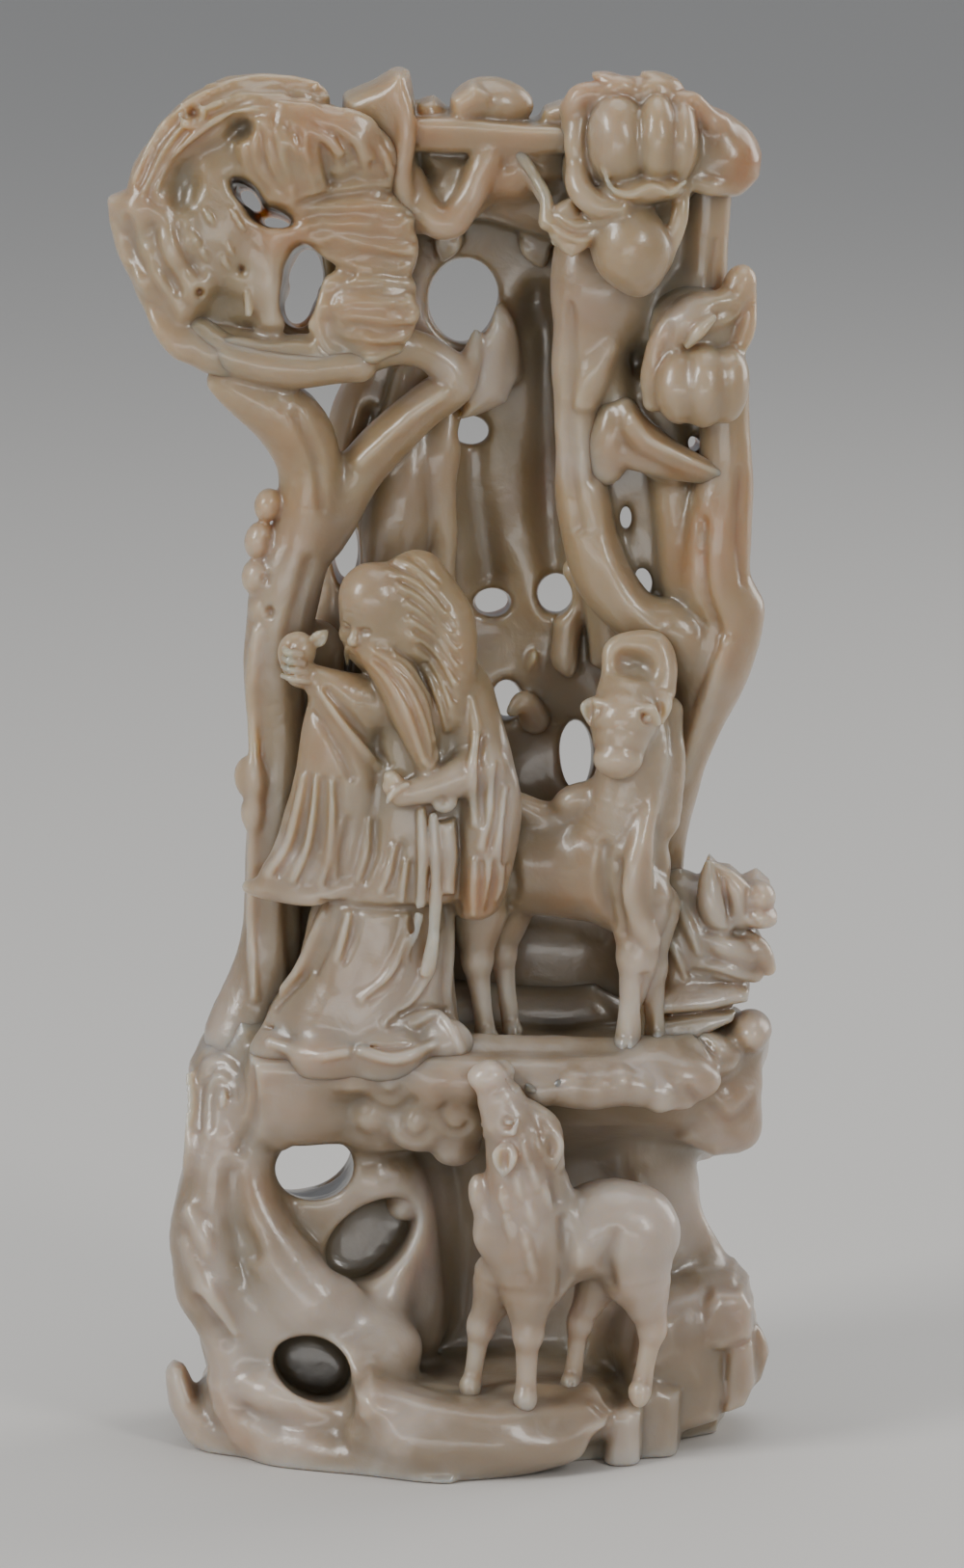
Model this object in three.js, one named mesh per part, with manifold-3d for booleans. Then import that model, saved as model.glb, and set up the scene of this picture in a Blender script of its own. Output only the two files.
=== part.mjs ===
// A pebble of pale jade, carved and pierced: an elder with a peach and two deer
// among rocks, below a pine on the left and a peach tree on the right.
// Millimetres, +Z up, the carved front faces -Y.
import * as THREE from 'three';
import { mergeVertices } from 'three/addons/utils/BufferGeometryUtils.js';
import Module from 'manifold-3d';

const wasm = await Module();
wasm.setup();

// Driving dimensions
const height = 180;
const cliffThickness = 8;
const ledgeThickness = 8;
const footDepth = 52;
const footWidth = 72;
const needlesPerFan = 8;
const robeFolds = 8;
const facetSlack = 0.2;

// The carving is a free form, so its strokes are shares of its height: 180 grains make the height
const grain = height / 180;
const ledgeTop = (0.3 * height) / grain;
const platformTop = height / 18 / grain;
const cliffFace = (2 * height) / 45 / grain;

const jade = new THREE.MeshStandardMaterial({ color: 0xb0a68f, roughness: 0.25, metalness: 0 });

const sliver = 1e-3;
const { clamp, degToRad, lerp } = THREE.MathUtils;
const at = ([x, y, z]) => new THREE.Vector3(x, y, z).multiplyScalar(grain);

// A closed three.js mesh as a solid that can be joined and cut
function solid(geometry) {
  geometry.deleteAttribute('normal');
  geometry.deleteAttribute('uv');
  const merged = mergeVertices(geometry, 1e-4);
  const vertProperties = merged.attributes.position.array;
  const triVerts = Uint32Array.from(merged.index.array);
  const corner = (i) => new THREE.Vector3().fromArray(vertProperties, 3 * triVerts[i]);
  let volume = 0;
  for (let i = 0; i < triVerts.length; i += 3) {
    volume += corner(i).dot(corner(i + 1).cross(corner(i + 2)));
  }
  if (volume < 0) triVerts.reverse();
  return new wasm.Manifold(new wasm.Mesh({ numProp: 3, vertProperties, triVerts }));
}

const join = (solids) => solids.flat(Infinity).reduce((whole, next) => whole.add(next));

// Takes out the points that hardly shape a closed mesh: each is drawn onto a neighbour
// where no facet strays by more than the slack or turns over
function eased(positions, index, slack) {
  const points = Array.from({ length: positions.length / 3 }, (_, i) =>
    new THREE.Vector3().fromArray(positions, 3 * i));
  const facets = Array.from({ length: index.length / 3 }, (_, i) =>
    [...index.slice(3 * i, 3 * i + 3)]);
  const facetsAt = points.map(() => new Set());
  facets.forEach((facet, f) => facet.forEach((i) => facetsAt[i].add(f)));
  const beside = (i) => new Set([...facetsAt[i]].flatMap((f) => facets[f]).filter((j) => j !== i));
  const planeOf = (facet) => {
    const [a, b, c] = facet.map((i) => points[i]);
    const normal = b.clone().sub(a).cross(c.clone().sub(a));
    return { origin: a, area: normal.length() / 2, normal: normal.normalize() };
  };
  const strayOf = (from, to) => {
    const besideTo = beside(to);
    if ([...beside(from)].filter((i) => besideTo.has(i)).length !== 2) return Infinity;
    let most = 0;
    for (const f of facetsAt[from]) {
      const old = planeOf(facets[f]);
      most = Math.max(most, Math.abs(points[to].clone().sub(old.origin).dot(old.normal)));
      if (most > slack) return Infinity;
      if (facets[f].includes(to)) continue;
      const moved = planeOf(facets[f].map((i) => (i === from ? to : i)));
      const turned = old.area > sliver && old.normal.dot(moved.normal) < 0.5;
      if (moved.area < 0.1 * sliver || turned) return Infinity;
    }
    return most;
  };
  const draw = (from, to) => {
    for (const f of facetsAt[from]) {
      if (facets[f].includes(to)) {
        facets[f].filter((i) => i !== from).forEach((i) => facetsAt[i].delete(f));
        facets[f] = [];
      } else {
        facets[f] = facets[f].map((i) => (i === from ? to : i));
        facetsAt[to].add(f);
      }
    }
    facetsAt[from].clear();
  };
  for (let moved = true; moved; ) {
    moved = false;
    for (let from = 0; from < points.length; from++) {
      const choices = [...beside(from)].map((to) => ({ to, stray: strayOf(from, to) }));
      const best = choices.reduce((a, b) => (b.stray < a.stray ? b : a), { stray: slack });
      if (best.to === undefined) continue;
      draw(from, best.to);
      moved = true;
    }
  }
  return facets.flat();
}

// A closed skin on a sphere's grid: place() gives the point at each turn and row
function skin(sides, rows, place) {
  const geometry = new THREE.SphereGeometry(1, sides, rows);
  const { position, uv } = geometry.attributes;
  for (let i = 0; i < position.count; i++) {
    const row = Math.round((1 - uv.getY(i)) * rows);
    const side = row === 0 || row === rows ? 0 : Math.round(uv.getX(i) * sides) % sides;
    const point = place((2 * Math.PI * side) / sides, row, side);
    position.setXYZ(i, point.x, point.y, point.z);
  }
  return solid(geometry);
}

// Two directions square to a path, the second one as deep into the stone as it can be
function across(ahead) {
  const inward = Math.abs(ahead.y) > 0.9 ? new THREE.Vector3(0, 0, 1) : new THREE.Vector3(0, 1, 0);
  const side = ahead.clone().cross(inward).normalize();
  return [side, side.clone().cross(ahead).normalize()];
}

// A rounded stroke through stations of x, y, z and radius
function limb(stations, { sides = 6, rings = stations.length + 1, flat = 1, cap = 0.6 } = {}) {
  const path = new THREE.CatmullRomCurve3(stations.map(at));
  const last = stations.length - 1;
  return skin(sides, rings + 1, (turn, row) => {
    const share = clamp((row - 1) / (rings - 1), 0, 1);
    const before = Math.min(Math.floor(share * last), last - 1);
    const radius = grain * lerp(stations[before][3], stations[before + 1][3], share * last - before);
    const point = path.getPoint(share);
    const ahead = path.getTangent(share);
    if (row === 0) return point.addScaledVector(ahead, -cap * radius);
    if (row === rings + 1) return point.addScaledVector(ahead, cap * radius);
    const [side, inward] = across(ahead);
    point.addScaledVector(side, radius * Math.cos(turn));
    return point.addScaledVector(inward, radius * flat * Math.sin(turn));
  });
}

// A rounded lump, turned by three angles in degrees and swelled by its turn and rise
function blob(centre, radii, { tilt = [0, 0, 0], sides = 7, rows = 4, swell = () => 1 } = {}) {
  const turned = new THREE.Euler(...tilt.map(degToRad));
  return skin(sides, rows, (turn, row) => {
    const rise = (Math.PI * row) / rows;
    const flatOut = Math.sin(rise);
    const point = at([
      radii[0] * flatOut * Math.cos(turn),
      radii[1] * flatOut * Math.sin(turn),
      radii[2] * Math.cos(rise),
    ]);
    return point.multiplyScalar(swell(turn, rise)).applyEuler(turned).add(at(centre));
  });
}

// A slab with a drawn front outline of x and z, and rounded edges
function slab(outline, front, back, round = 3) {
  const corners = outline.map(([x, z]) => new THREE.Vector2(x, z).multiplyScalar(grain));
  const shape = new THREE.Shape(corners);
  const geometry = new THREE.ExtrudeGeometry(shape, {
    depth: (back - front - 2 * round) * grain,
    bevelSize: round * grain,
    bevelThickness: round * grain,
    bevelOffset: -round * grain,
    bevelSegments: 2,
    curveSegments: 1,
  });
  geometry.rotateX(Math.PI / 2);
  geometry.translate(0, (back - round) * grain, 0);
  return solid(geometry);
}

// A fan of pine needles: they run from a knot along one way, ridge beside groove
function fan(knot, way, facing, reach, { back = 0.35, dome = 3, thick = 3 } = {}) {
  const ahead = new THREE.Vector3(...way).normalize();
  const out = new THREE.Vector3(...facing);
  out.addScaledVector(ahead, -out.dot(ahead)).normalize();
  const side = ahead.clone().cross(out);
  return skin(2 * needlesPerFan, 3, (turn, row, spoke) => {
    const ridge = spoke % 2 ? 0.86 : 1;
    const span = reach * (back + ((1 - back) * (1 + Math.cos(turn))) / 2);
    const ring = [0, 0.62, ridge, 0][row];
    const lift = [dome, dome * (0.95 * ridge - 0.2), -0.4 * thick, -thick][row];
    const point = at(knot);
    point.addScaledVector(ahead, ring * span * Math.cos(turn) * grain);
    point.addScaledVector(side, ring * span * Math.sin(turn) * grain);
    return point.addScaledVector(out, lift * grain);
  });
}

// A leaf from its stalk to its tip, creased along its midrib
function leaf(stalk, tip, width, { facing = [0, -1, 0], thick = 1.6, bow = 1 } = {}) {
  const from = new THREE.Vector3(...stalk);
  const run = new THREE.Vector3(...tip).sub(from);
  const side = run.clone().normalize().cross(new THREE.Vector3(...facing)).normalize();
  const out = side.clone().cross(run).normalize();
  return skin(4, 4, (turn, row) => {
    const share = row / 4;
    const half = 0.5 * width * Math.sin(Math.PI * share ** 0.85);
    const arch = Math.sin(Math.PI * share);
    const point = from.clone().addScaledVector(run, share);
    point.addScaledVector(side, half * Math.cos(turn));
    point.addScaledVector(out, arch * (bow + 0.5 * thick * Math.sin(turn)));
    return point.multiplyScalar(grain);
  });
}

// A peach: a round fruit with shallow ribs and a drawn-out tip
function peach(centre, radii, tilt, { ribs = 5, tip = 0.3 } = {}) {
  return blob(centre, radii, {
    tilt,
    sides: 2 * ribs,
    rows: 5,
    swell: (turn, rise) => (1 + tip * Math.max(0, -Math.cos(rise)) ** 6)
      * (1 - 0.09 * Math.sin(rise) * (Math.round((turn * ribs) / Math.PI) % 2)),
  });
}

// A robe or a mass with folds: levels of x, y, z, half width, half depth and depth of fold
function draped(levels, { folds = robeFolds, slant = 0, start = 0 } = {}) {
  return skin(3 * folds, levels.length + 1, (turn, row) => {
    const [x, y, z, wide, deep, fold] = levels[clamp(row - 1, 0, levels.length - 1)];
    if (row === 0 || row > levels.length) return at([x, y, z]);
    const crease = 1 + fold * Math.cos(folds * (turn + start) + slant * row);
    return at([x + wide * crease * Math.cos(turn), y + deep * crease * Math.sin(turn), z]);
  });
}

// A deer's head from poll to muzzle, with its ears
function deerHead(poll, muzzle, ears) {
  const brow = poll.map((n, i) => lerp(n, muzzle[i], 0.4));
  return [
    limb([[...poll, 3.6], [...brow, 3.7], [...muzzle, 2.3]], { sides: 8, rings: 4 }),
    ears.map(([root, tip]) => leaf(root, tip, 3, { thick: 2, bow: 0.4 })),
  ];
}

// A deer's leg: thigh, knee, pastern and hoof
function deerLeg([top, knee, foot], thigh = 3, shin = 1.6) {
  const above = top.map((n, i) => lerp(n, knee[i], 0.55));
  const below = knee.map((n, i) => lerp(n, foot[i], 0.6));
  const taper = [thigh, lerp(thigh, shin, 0.7), shin, 0.8 * shin, 1.1 * shin];
  const stations = [top, above, knee, below, foot].map((point, i) => [...point, taper[i]]);
  return limb(stations, { rings: 5, cap: 0.2 });
}

// The foot: a low rock with a bulging lip in front, tongues at the left and blocks at the right
function foot() {
  const wide = footWidth / (2 * grain);
  const deep = footDepth / (2 * grain);
  const lobes = (turn) => 1 + 0.04 * Math.sin(3 * turn + 0.6) + 0.03 * Math.cos(5 * turn);
  const levels = [[-2, 0.9], [3, 0.98], [7, 0.97], [platformTop, 0.86]];
  const plate = skin(22, levels.length + 1, (turn, row) => {
    const [z, share] = levels[clamp(row - 1, 0, levels.length - 1)];
    if (row === 0 || row > levels.length) return at([2, 0, z]);
    const out = share * lobes(turn);
    return at([2 + wide * out * Math.cos(turn), deep * out * Math.sin(turn), z]);
  });
  return [
    plate,
    limb([
      [-35.4, -3, 9.6, 1.4], [-33, -6, 6.5, 3.2], [-27, -10, 3.5, 5], [-15, -17, 2.6, 5.6],
    ], { sides: 7 }),
    limb([[-30, -4, 12, 2], [-24, -10, 7.6, 3.4], [-14, -15, 6, 4]]),
    limb([
      [-10.4, -18, 8.6, 3.4], [-3, -20.6, 5.4, 5.2], [7, -20.6, 3.4, 5], [19, -17.6, 3.8, 4],
    ], { sides: 8 }),
    slab([[20, -1], [26, -1], [26, 7], [20, 8]], -17, 0, 0.8),
    slab([[25, -1], [31, -1], [31, 9.5], [25, 10]], -9.5, 6, 0.8),
    slab([[28, -1], [37, -1], [38, 12], [33, 14], [28, 13]], -6, 14, 1),
    slab([[36, -1], [40, -1], [43, 8], [43, 12], [41, 17], [36, 14]], -2, 16, 1),
  ];
}

// The rocks that carry the ledge, left and right of the cave
function lowerRocks() {
  const left = [
    [-27, 59], [-30, 55], [-33, 50], [-33.6, 44], [-33, 40], [-35, 34], [-36, 29], [-35.6, 22],
    [-33, 17], [-30, 13], [-29, 4], [-8, 4], [-5.4, 14], [-4.6, 26], [-4.8, 42], [-6, 52], [-18, 57],
  ];
  const right = [
    [22, 0], [40, 2], [42.5, 10], [41, 16], [41, 20], [39, 22.6], [34.5, 23], [32, 26],
    [29.5, 31], [30, 40], [26, 48], [20, 46], [21, 30], [23, 16],
  ];
  return [
    slab(left, -9, 9, 4),
    slab(right, -5, 15, 2.5),
    limb([[-27, -5, 46, 4], [-29, -6, 38, 5.6], [-30, -7, 29, 6], [-27, -8, 20, 6], [-20, -9, 14, 6]]),
    limb([[-26, -8, 38, 2.4], [-22, -9.6, 30, 3], [-17, -10, 22, 3.6], [-10, -9, 17, 4], [-7.4, -6, 26, 3.2]]),
    limb([[-30.4, -7, 48, 2.4], [-28.4, -8.4, 51, 2.4], [-25.6, -8, 47, 2.4], [-27, -8.4, 43, 2]]),
    limb([[-33, -8, 25, 2], [-31, -10, 20, 2.4], [-27, -11, 14.6, 2]]),
    blob([33, -2, 14], [10, 8, 10], { sides: 9, rows: 5 }),
    blob([28, 4, 28], [6, 7, 14]),
  ];
}

// The cliff behind the figures, with its upright ridges, a plain rocky back and a foot
function cliff() {
  const rear = cliffFace + cliffThickness / grain;
  const low = [
    [-31, 0], [-30, 20], [-31, 34], [-28, 48], [-24, 58], [-16, 66], [20, 66], [27, 58],
    [30, 44], [31, 22], [34, 0],
  ];
  const high = [
    [-16, 60], [-18.6, 84], [-19, 106], [-17, 112], [-16, 124], [-13, 138], [-8, 148], [-5, 160], [-1, 170],
    [18, 170], [20, 156], [19, 140], [21, 124], [23, 108], [26, 92], [24, 60],
  ];
  const betweenTrunks = [[19, 102], [17, 128], [18, 150], [32, 152], [36, 140], [35.4, 112], [33, 100], [26, 98]];
  const ridge = (x, foot, top, radius) =>
    limb([
      [x, cliffFace, foot, radius], [x + 1.2, cliffFace, (foot + top) / 2, 1.15 * radius],
      [x, cliffFace, top, 0.7 * radius],
    ], { rings: 4 });
  return [
    slab(low, 3, rear + 3, 3),
    slab(high, cliffFace, rear, 2.5),
    slab(betweenTrunks, 2.5, 8.5, 1.5),
    ridge(-9, 98, 136, 2.6),
    ridge(3, 100, 142, 2.8),
    ridge(8.5, 96, 132, 2.2),
    ridge(13, 90, 126, 2.2),
    blob([-8, rear, 24], [17, 7, 22], { tilt: [0, 12, 0] }),
    blob([14, rear - 1, 34], [13, 7, 20], { tilt: [0, -14, 0] }),
    blob([2, rear - 1, 76], [14, 5, 26], { tilt: [0, 8, 0] }),
    blob([-6, rear - 2, 118], [9, 5, 22], { tilt: [0, -6, 0] }),
    blob([10, rear - 2, 134], [8, 5, 22], { tilt: [0, 8, 0] }),
  ];
}

// The ledge on which the elder and the deer stand, hung with cloud-like lumps
function ledge() {
  const floorBottom = ledgeTop - ledgeThickness / grain;
  const shelf = skin(20, 5, (turn, row) => {
    if (row === 0) return at([4, 0, ledgeTop]);
    if (row === 5) return at([4, 2, floorBottom - 6]);
    const share = [0, 0.95, 1, 0.9, 0.6][row];
    const lobes = 1 + 0.05 * Math.sin(4 * turn) + 0.04 * Math.cos(7 * turn);
    const z = [0, ledgeTop, ledgeTop - 2.5, floorBottom, floorBottom - 6][row];
    return at([4 + 31 * share * lobes * Math.cos(turn), 17 * share * lobes * Math.sin(turn), z]);
  });
  const ropeLumps = 6;
  const rope = Array.from({ length: ropeLumps }, (_, i) =>
    blob([11.5 + 4.2 * i, -14.6 + 0.5 * i, ledgeTop - 2.4], [2.9, 2.2, 2], {
      tilt: [0, 12 * (i % 2), 0],
      sides: 6,
    }));
  return [
    shelf,
    rope,
    blob([-20, -9, 47], [8, 6, 7]),
    blob([-7.5, -12, 50], [3.6, 4, 5], { tilt: [0, 20, 0] }),
    blob([-2.5, -13, 46], [4.6, 4.5, 6.5], { tilt: [0, -20, 0] }),
    blob([2, -10, 42], [4, 4, 5]),
    blob([12, -16.5, 48.5], [2.6, 2.4, 2.4], { sides: 7 }),
    blob([31, -10, 50], [6.5, 5, 3.6], { tilt: [0, 6, 0] }),
    blob([36, 0, 45], [7, 9, 8], { tilt: [0, -18, 0], swell: (turn) => 1 + 0.06 * Math.cos(3 * turn) }),
    slab([[33, 38], [38, 39], [43, 49], [42.6, 54], [38, 57.5], [32, 54]], -6, 12, 2),
    limb([[10, -4, 44, 5], [20, -4, 42, 5.5], [29, -2, 42, 5]], { flat: 1.3 }),
  ];
}

// The lobes of magic fungus on the right of the ledge
function fungus() {
  const lobe = (x, y, z, wide, tall, lean) =>
    blob([x, y, z], [wide, 5, tall], { tilt: [0, lean, 0], sides: 8 });
  return [
    limb([[31, 2, 54, 6], [32, 2, 62, 6], [33, 1, 70, 4]]),
    lobe(31, -2, 73, 3.6, 4, 10),
    lobe(36, -2, 74, 3.4, 3.6, -30),
    lobe(40.5, -1, 71, 3, 2.8, 20),
    lobe(36, -3, 66.5, 5.5, 3, -16),
    lobe(40, -1, 64, 3.8, 2.2, 30),
    lobe(35, -3, 60.5, 6, 3.2, 8),
    lobe(31, -4, 64, 4, 5, 0),
  ];
}

// The pine: its trunk, its forked branch and the knots on its bark
function pineTrunk() {
  return [
    limb([
      [-25.6, -1, 54, 5.5], [-22.2, -1, 66, 4.2], [-22, -2, 77, 3.9], [-20.6, -2, 89, 3.6],
      [-22.2, -2, 101, 3.7], [-20.4, -2, 113, 4.2], [-17.4, -2, 122, 4.2], [-17.4, -2, 129, 4],
      [-20, -3, 135, 4.6], [-26, -4, 138.6, 3.2],
    ], { sides: 8, rings: 20 }),
    limb([
      [-16, -1, 121, 3.4], [-10, 0, 129, 3], [-3, 0, 136, 2.9], [1.6, 0, 140, 2.8],
      [-3, -1, 143.6, 2.6], [-10, -3, 143.6, 2.6],
    ]),
    limb([[-32, -4, 147, 2.4], [-24, -6, 143, 2.6], [-17, -6, 142, 2.6], [-11, -5, 143, 2.4]]),
    blob([-22, -3, 121], [2.6, 2.4, 3.2], { sides: 6 }),
    blob([-23, -3, 115.5], [2.4, 2.4, 2.6], { sides: 6 }),
    blob([-24, -3, 111], [1.6, 2.2, 2.4], { sides: 6 }),
    blob([-25, -4, 86.5], [2.5, 1.8, 4.4], { sides: 7 }),
    limb([[-17, 2, 100, 4], [-17, 6, 84, 5], [-19, 6, 68, 5]], { sides: 6 }),
  ];
}

// The pine's crown: fans of needles round a hollow
function pineCrown() {
  const front = [0, -1, 0];
  return [
    blob([-22, 2, 160.5], [17, 7, 16], { sides: 12, rows: 6 }),
    limb([
      [-26, -4, 145, 3.2], [-33, -3, 149, 3.6], [-38.2, -3, 156, 3.6], [-37, -3, 164, 3.8],
      [-32, -3, 170, 4], [-25.6, -3, 174.4, 3.8], [-18, -3, 176, 3.2],
    ], { sides: 7 }),
    fan([-22, -7.4, 175], [12, -2, -8], [0.1, -1, 0.35], 18, { back: 0.3, dome: 3.4 }),
    fan([-17, -7, 161.5], [1, -0.1, -0.1], front, 14, { back: 0.36, dome: 3.2 }),
    fan([-16, -7.4, 150.5], [1, -0.1, -0.25], front, 13, { back: 0.42, dome: 3.6 }),
    fan([-27, -5.6, 158], [-1, 0.1, 0], front, 16.6, { back: 0.5, dome: 3 }),
    fan([-31, -5, 168.6], [-0.6, 0, -0.4], [-0.2, -1, 0.3], 8, { back: 0.7, dome: 2 }),
    fan([-24, 6.4, 163], [-0.6, 0, 0.2], [0, 1, 0], 15, { back: 0.8 }),
    fan([-13, 6.4, 155], [0.7, 0, -0.4], [0, 1, 0], 11, { back: 0.7 }),
  ];
}

// The crest between the crowns: slabs, a flat bar and a forked branch
function crest() {
  return [
    slab([
      [-13, 173], [-6.5, 177.5], [-4.6, 179.6], [-3.6, 176], [-4, 163], [-8, 163], [-9, 170],
    ], -5, 10, 1),
    slab([[0, 168.5], [17, 168.5], [18, 173], [0, 173.4]], -6, 10, 1.2),
    blob([5.5, 0, 174.4], [6, 5, 3.4], { sides: 8 }),
    blob([14, 0, 173.5], [3.5, 5, 3], { sides: 7 }),
    limb([[-4.5, -2, 164, 2], [-1.6, -3, 160.6, 2.2], [2, -3, 162, 2.1], [6, -2, 169, 1.8]]),
    limb([[8, 0, 168.6, 1.8], [12, -2, 164, 1.6], [15, -4, 159, 1.6]]),
    leaf([0.6, 8.4, 158.6], [2.6, 8.4, 153.4], 3, { thick: 3 }),
    leaf([10.6, 8.4, 159], [13, 8.4, 153], 4, { thick: 3 }),
    slab([[2, 134], [9, 131], [10, 143], [4, 146]], 1, 12, 1),
  ];
}

// The peach tree: two trunks, branches, leaves and fruit
function peachTree() {
  return [
    limb([
      [33.5, 1, 162, 3], [33, 1, 152, 3], [36, 0, 142, 3], [35.5, 0, 130, 4.2], [34, 0, 120, 5.4],
      [36.6, 1, 112, 4], [36, 1, 104, 4], [32.5, 2, 94, 3.6], [28, 3, 84, 4], [26, 3, 74, 4],
    ], { sides: 8, rings: 18 }),
    limb([
      [18.5, 0, 168, 3.4], [17.5, 0, 152, 3.2], [17, 1, 136, 2.8], [17.4, 1, 124, 3.2], [20.6, 1, 115, 3],
      [25, 0, 110, 2.6], [30, 0, 107, 3.4],
    ], { sides: 8, rings: 13 }),
    limb([[24, 1, 133, 2.2], [29, 0, 129, 2.6], [37, -1, 126.5, 1.6]], { sides: 6 }),
    limb([[22, 3, 143, 3], [25, 3, 134, 3], [29, 3, 124, 3.4], [29, 3, 114, 3]], { flat: 0.8 }),
    peach([28.4, -8, 168.6], [4.2, 4.6, 6.4], [0, -4, 0]),
    peach([22.8, -8.4, 168], [4, 4.6, 6], [0, 8, 0]),
    peach([24.6, -7.4, 156], [5.2, 5.2, 5.6], [0, -8, 0]),
    peach([33, -5.6, 138.6], [5.6, 5.4, 5.6], [0, -6, 0]),
    leaf([18, -4, 171], [24, -6, 179.4], 7, { facing: [0, -0.7, 0.7], thick: 3 }),
    leaf([23, -4, 176], [33, -3, 175], 7, { facing: [0.2, -0.7, 0.7], thick: 3 }),
    leaf([18, -4, 166], [17, -5, 176], 7, { facing: [-0.3, -1, 0.3], thick: 3 }),
    leaf([21, -5, 163], [12.6, -6, 155], 7, { facing: [-0.2, -1, 0], thick: 2.4 }),
    leaf([31, -3, 149], [40, -2, 154.6], 5.4, { facing: [0.2, -1, 0.2], thick: 3.4 }),
    leaf([27, -4, 142], [34, -4, 152], 8, { facing: [-0.2, -1, 0.2], thick: 3 }),
    leaf([29, -4, 149], [27, -5, 137], 6, { facing: [-0.4, -1, 0], thick: 3 }),
    blob([24, 0, 167], [9.4, 8.4, 8.6], { sides: 9, rows: 5 }),
    blob([35.4, -2, 168.8], [5, 5.6, 5.4], { sides: 8 }),
    blob([32, -1, 145], [6, 5, 6.4]),
    blob([24, 4, 158], [9, 8, 10], { sides: 8 }),
  ];
}

// The elder: robe, hanging sleeves, raised hand with a peach, domed head and long beard
function elder() {
  const robe = [
    [-10, -7, 53, 13, 8.8, 0.05], [-9.6, -7, 58, 12, 8.2, 0.07], [-8.6, -7, 67, 10, 7.4, 0.08],
    [-7, -7, 77, 9, 6.8, 0.07], [-5, -7, 87, 8.6, 6.6, 0.05], [-3.6, -7, 96, 9, 6.2, 0.03],
    [-3, -7, 102.6, 7.8, 5.4, 0], [-4, -7, 106.6, 4.6, 4, 0],
  ];
  const leftSleeve = [
    [-15.4, -9.6, 73.6, 10, 3.4, 0.12], [-14.8, -10, 80, 7.8, 3.8, 0.12], [-13.6, -10, 88, 6, 4, 0.1],
    [-12.8, -10, 95, 5, 3.8, 0.06], [-13.4, -10, 101, 3.4, 2.8, 0],
  ];
  const rightSleeve = [
    [5.4, -9, 70.6, 3.8, 4.6, 0.12], [5.6, -9.4, 78, 4.4, 4.8, 0.12], [4.8, -9.4, 88, 4.6, 4.6, 0.08],
    [3.2, -8.6, 97, 4.8, 4.4, 0.04], [1.4, -7.6, 104, 3.6, 3.6, 0],
  ];
  const beardLocks = 3;
  const beard = Array.from({ length: beardLocks }, (_, i) =>
    limb([
      [-8.6 + 2.2 * i, -13, 105 + 0.6 * i, 2], [-5.4 + 2 * i, -14, 99 + 0.4 * i, 2.1],
      [-3.8 + 1.2 * i, -13.8, 89.6 + i, 1.6],
    ], { rings: 4 }));
  return [
    draped(robe, { slant: 0.35 }),
    draped(leftSleeve, { folds: 6, slant: 0.2 }),
    draped(rightSleeve, { folds: 5 }),
    limb([[-8, -9.6, 99, 3.2], [-13.6, -11, 100.4, 2.8], [-18, -11.6, 103, 1.9]]),
    blob([-18.8, -12, 104.4], [2.6, 2.4, 3], { rows: 5 }),
    limb([[5, -11.4, 92, 3], [0, -13.4, 89.6, 2.4], [-6, -13.8, 88, 1.8]]),
    blob([-4.2, -9.6, 109], [7.4, 6.2, 8], { tilt: [0, 26, 0], sides: 11, rows: 6 }),
    blob([-9, -10.4, 112], [4.6, 4.8, 5], { tilt: [0, 20, 0], sides: 9, rows: 5 }),
    blob([-10.4, -11, 106.6], [3.2, 3.4, 3.8], { rows: 5 }),
    limb([[0.6, -9, 111, 3], [2, -10.6, 104, 2.8], [0.4, -12.4, 96, 1.8]]),
    beard,
    limb([[-1, -12.8, 87, 1.6], [-0.6, -13.2, 80, 1.3], [-1, -12.8, 70, 1.2], [-0.4, -12.6, 58, 1.2]]),
  ];
}

// The deer on the ledge, its chest and face to the front
function ledgeDeer() {
  return [
    limb([[6, -1, 77.4, 7.4], [13, -2, 76.8, 7.4], [20, -4, 77, 7.6], [24.4, -6, 78, 6.4]], { sides: 9 }),
    limb([[21.6, -5, 79, 5.6], [24, -7, 86, 5.4], [25, -7.6, 92, 4.8], [25, -6.4, 99, 3.6]], { sides: 9 }),
    leaf([21, -4, 85], [15.6, -4, 88.6], 4, { facing: [0.3, -1, 0.4], thick: 3 }),
    deerHead([24.4, -8, 99.6], [21.8, -13, 91.6], [
      [[21.4, -8.6, 99], [18.4, -10.6, 95.4]],
      [[27, -8, 99.4], [29, -9, 94.8]],
    ]),
    limb([[22.8, -8, 101, 1.6], [21.8, -7, 104, 1.4], [23.6, -5, 107, 1.6]], { rings: 4 }),
    limb([[26, -7, 101, 1.8], [28, -5, 103, 1.6], [27.4, -3, 107, 1.6]], { rings: 4 }),
    limb([[24, -2, 108, 1.6], [29.4, -2, 105.6, 1.8]], { rings: 3 }),
    deerLeg([[25, -8.6, 74], [24.6, -10.2, 61], [25.4, -10.4, 54]], 4.6, 2),
    deerLeg([[27.4, -5, 72], [28, -4.6, 62], [28, -5, 54]], 3.4, 1.7),
    deerLeg([[4.6, -5, 75], [3.2, -5.4, 62], [4, -5.6, 54]], 5, 1.8),
    deerLeg([[9, -1, 73], [6.8, -0.6, 63], [8.4, -1, 54]], 4.6, 1.8),
  ];
}

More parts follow.
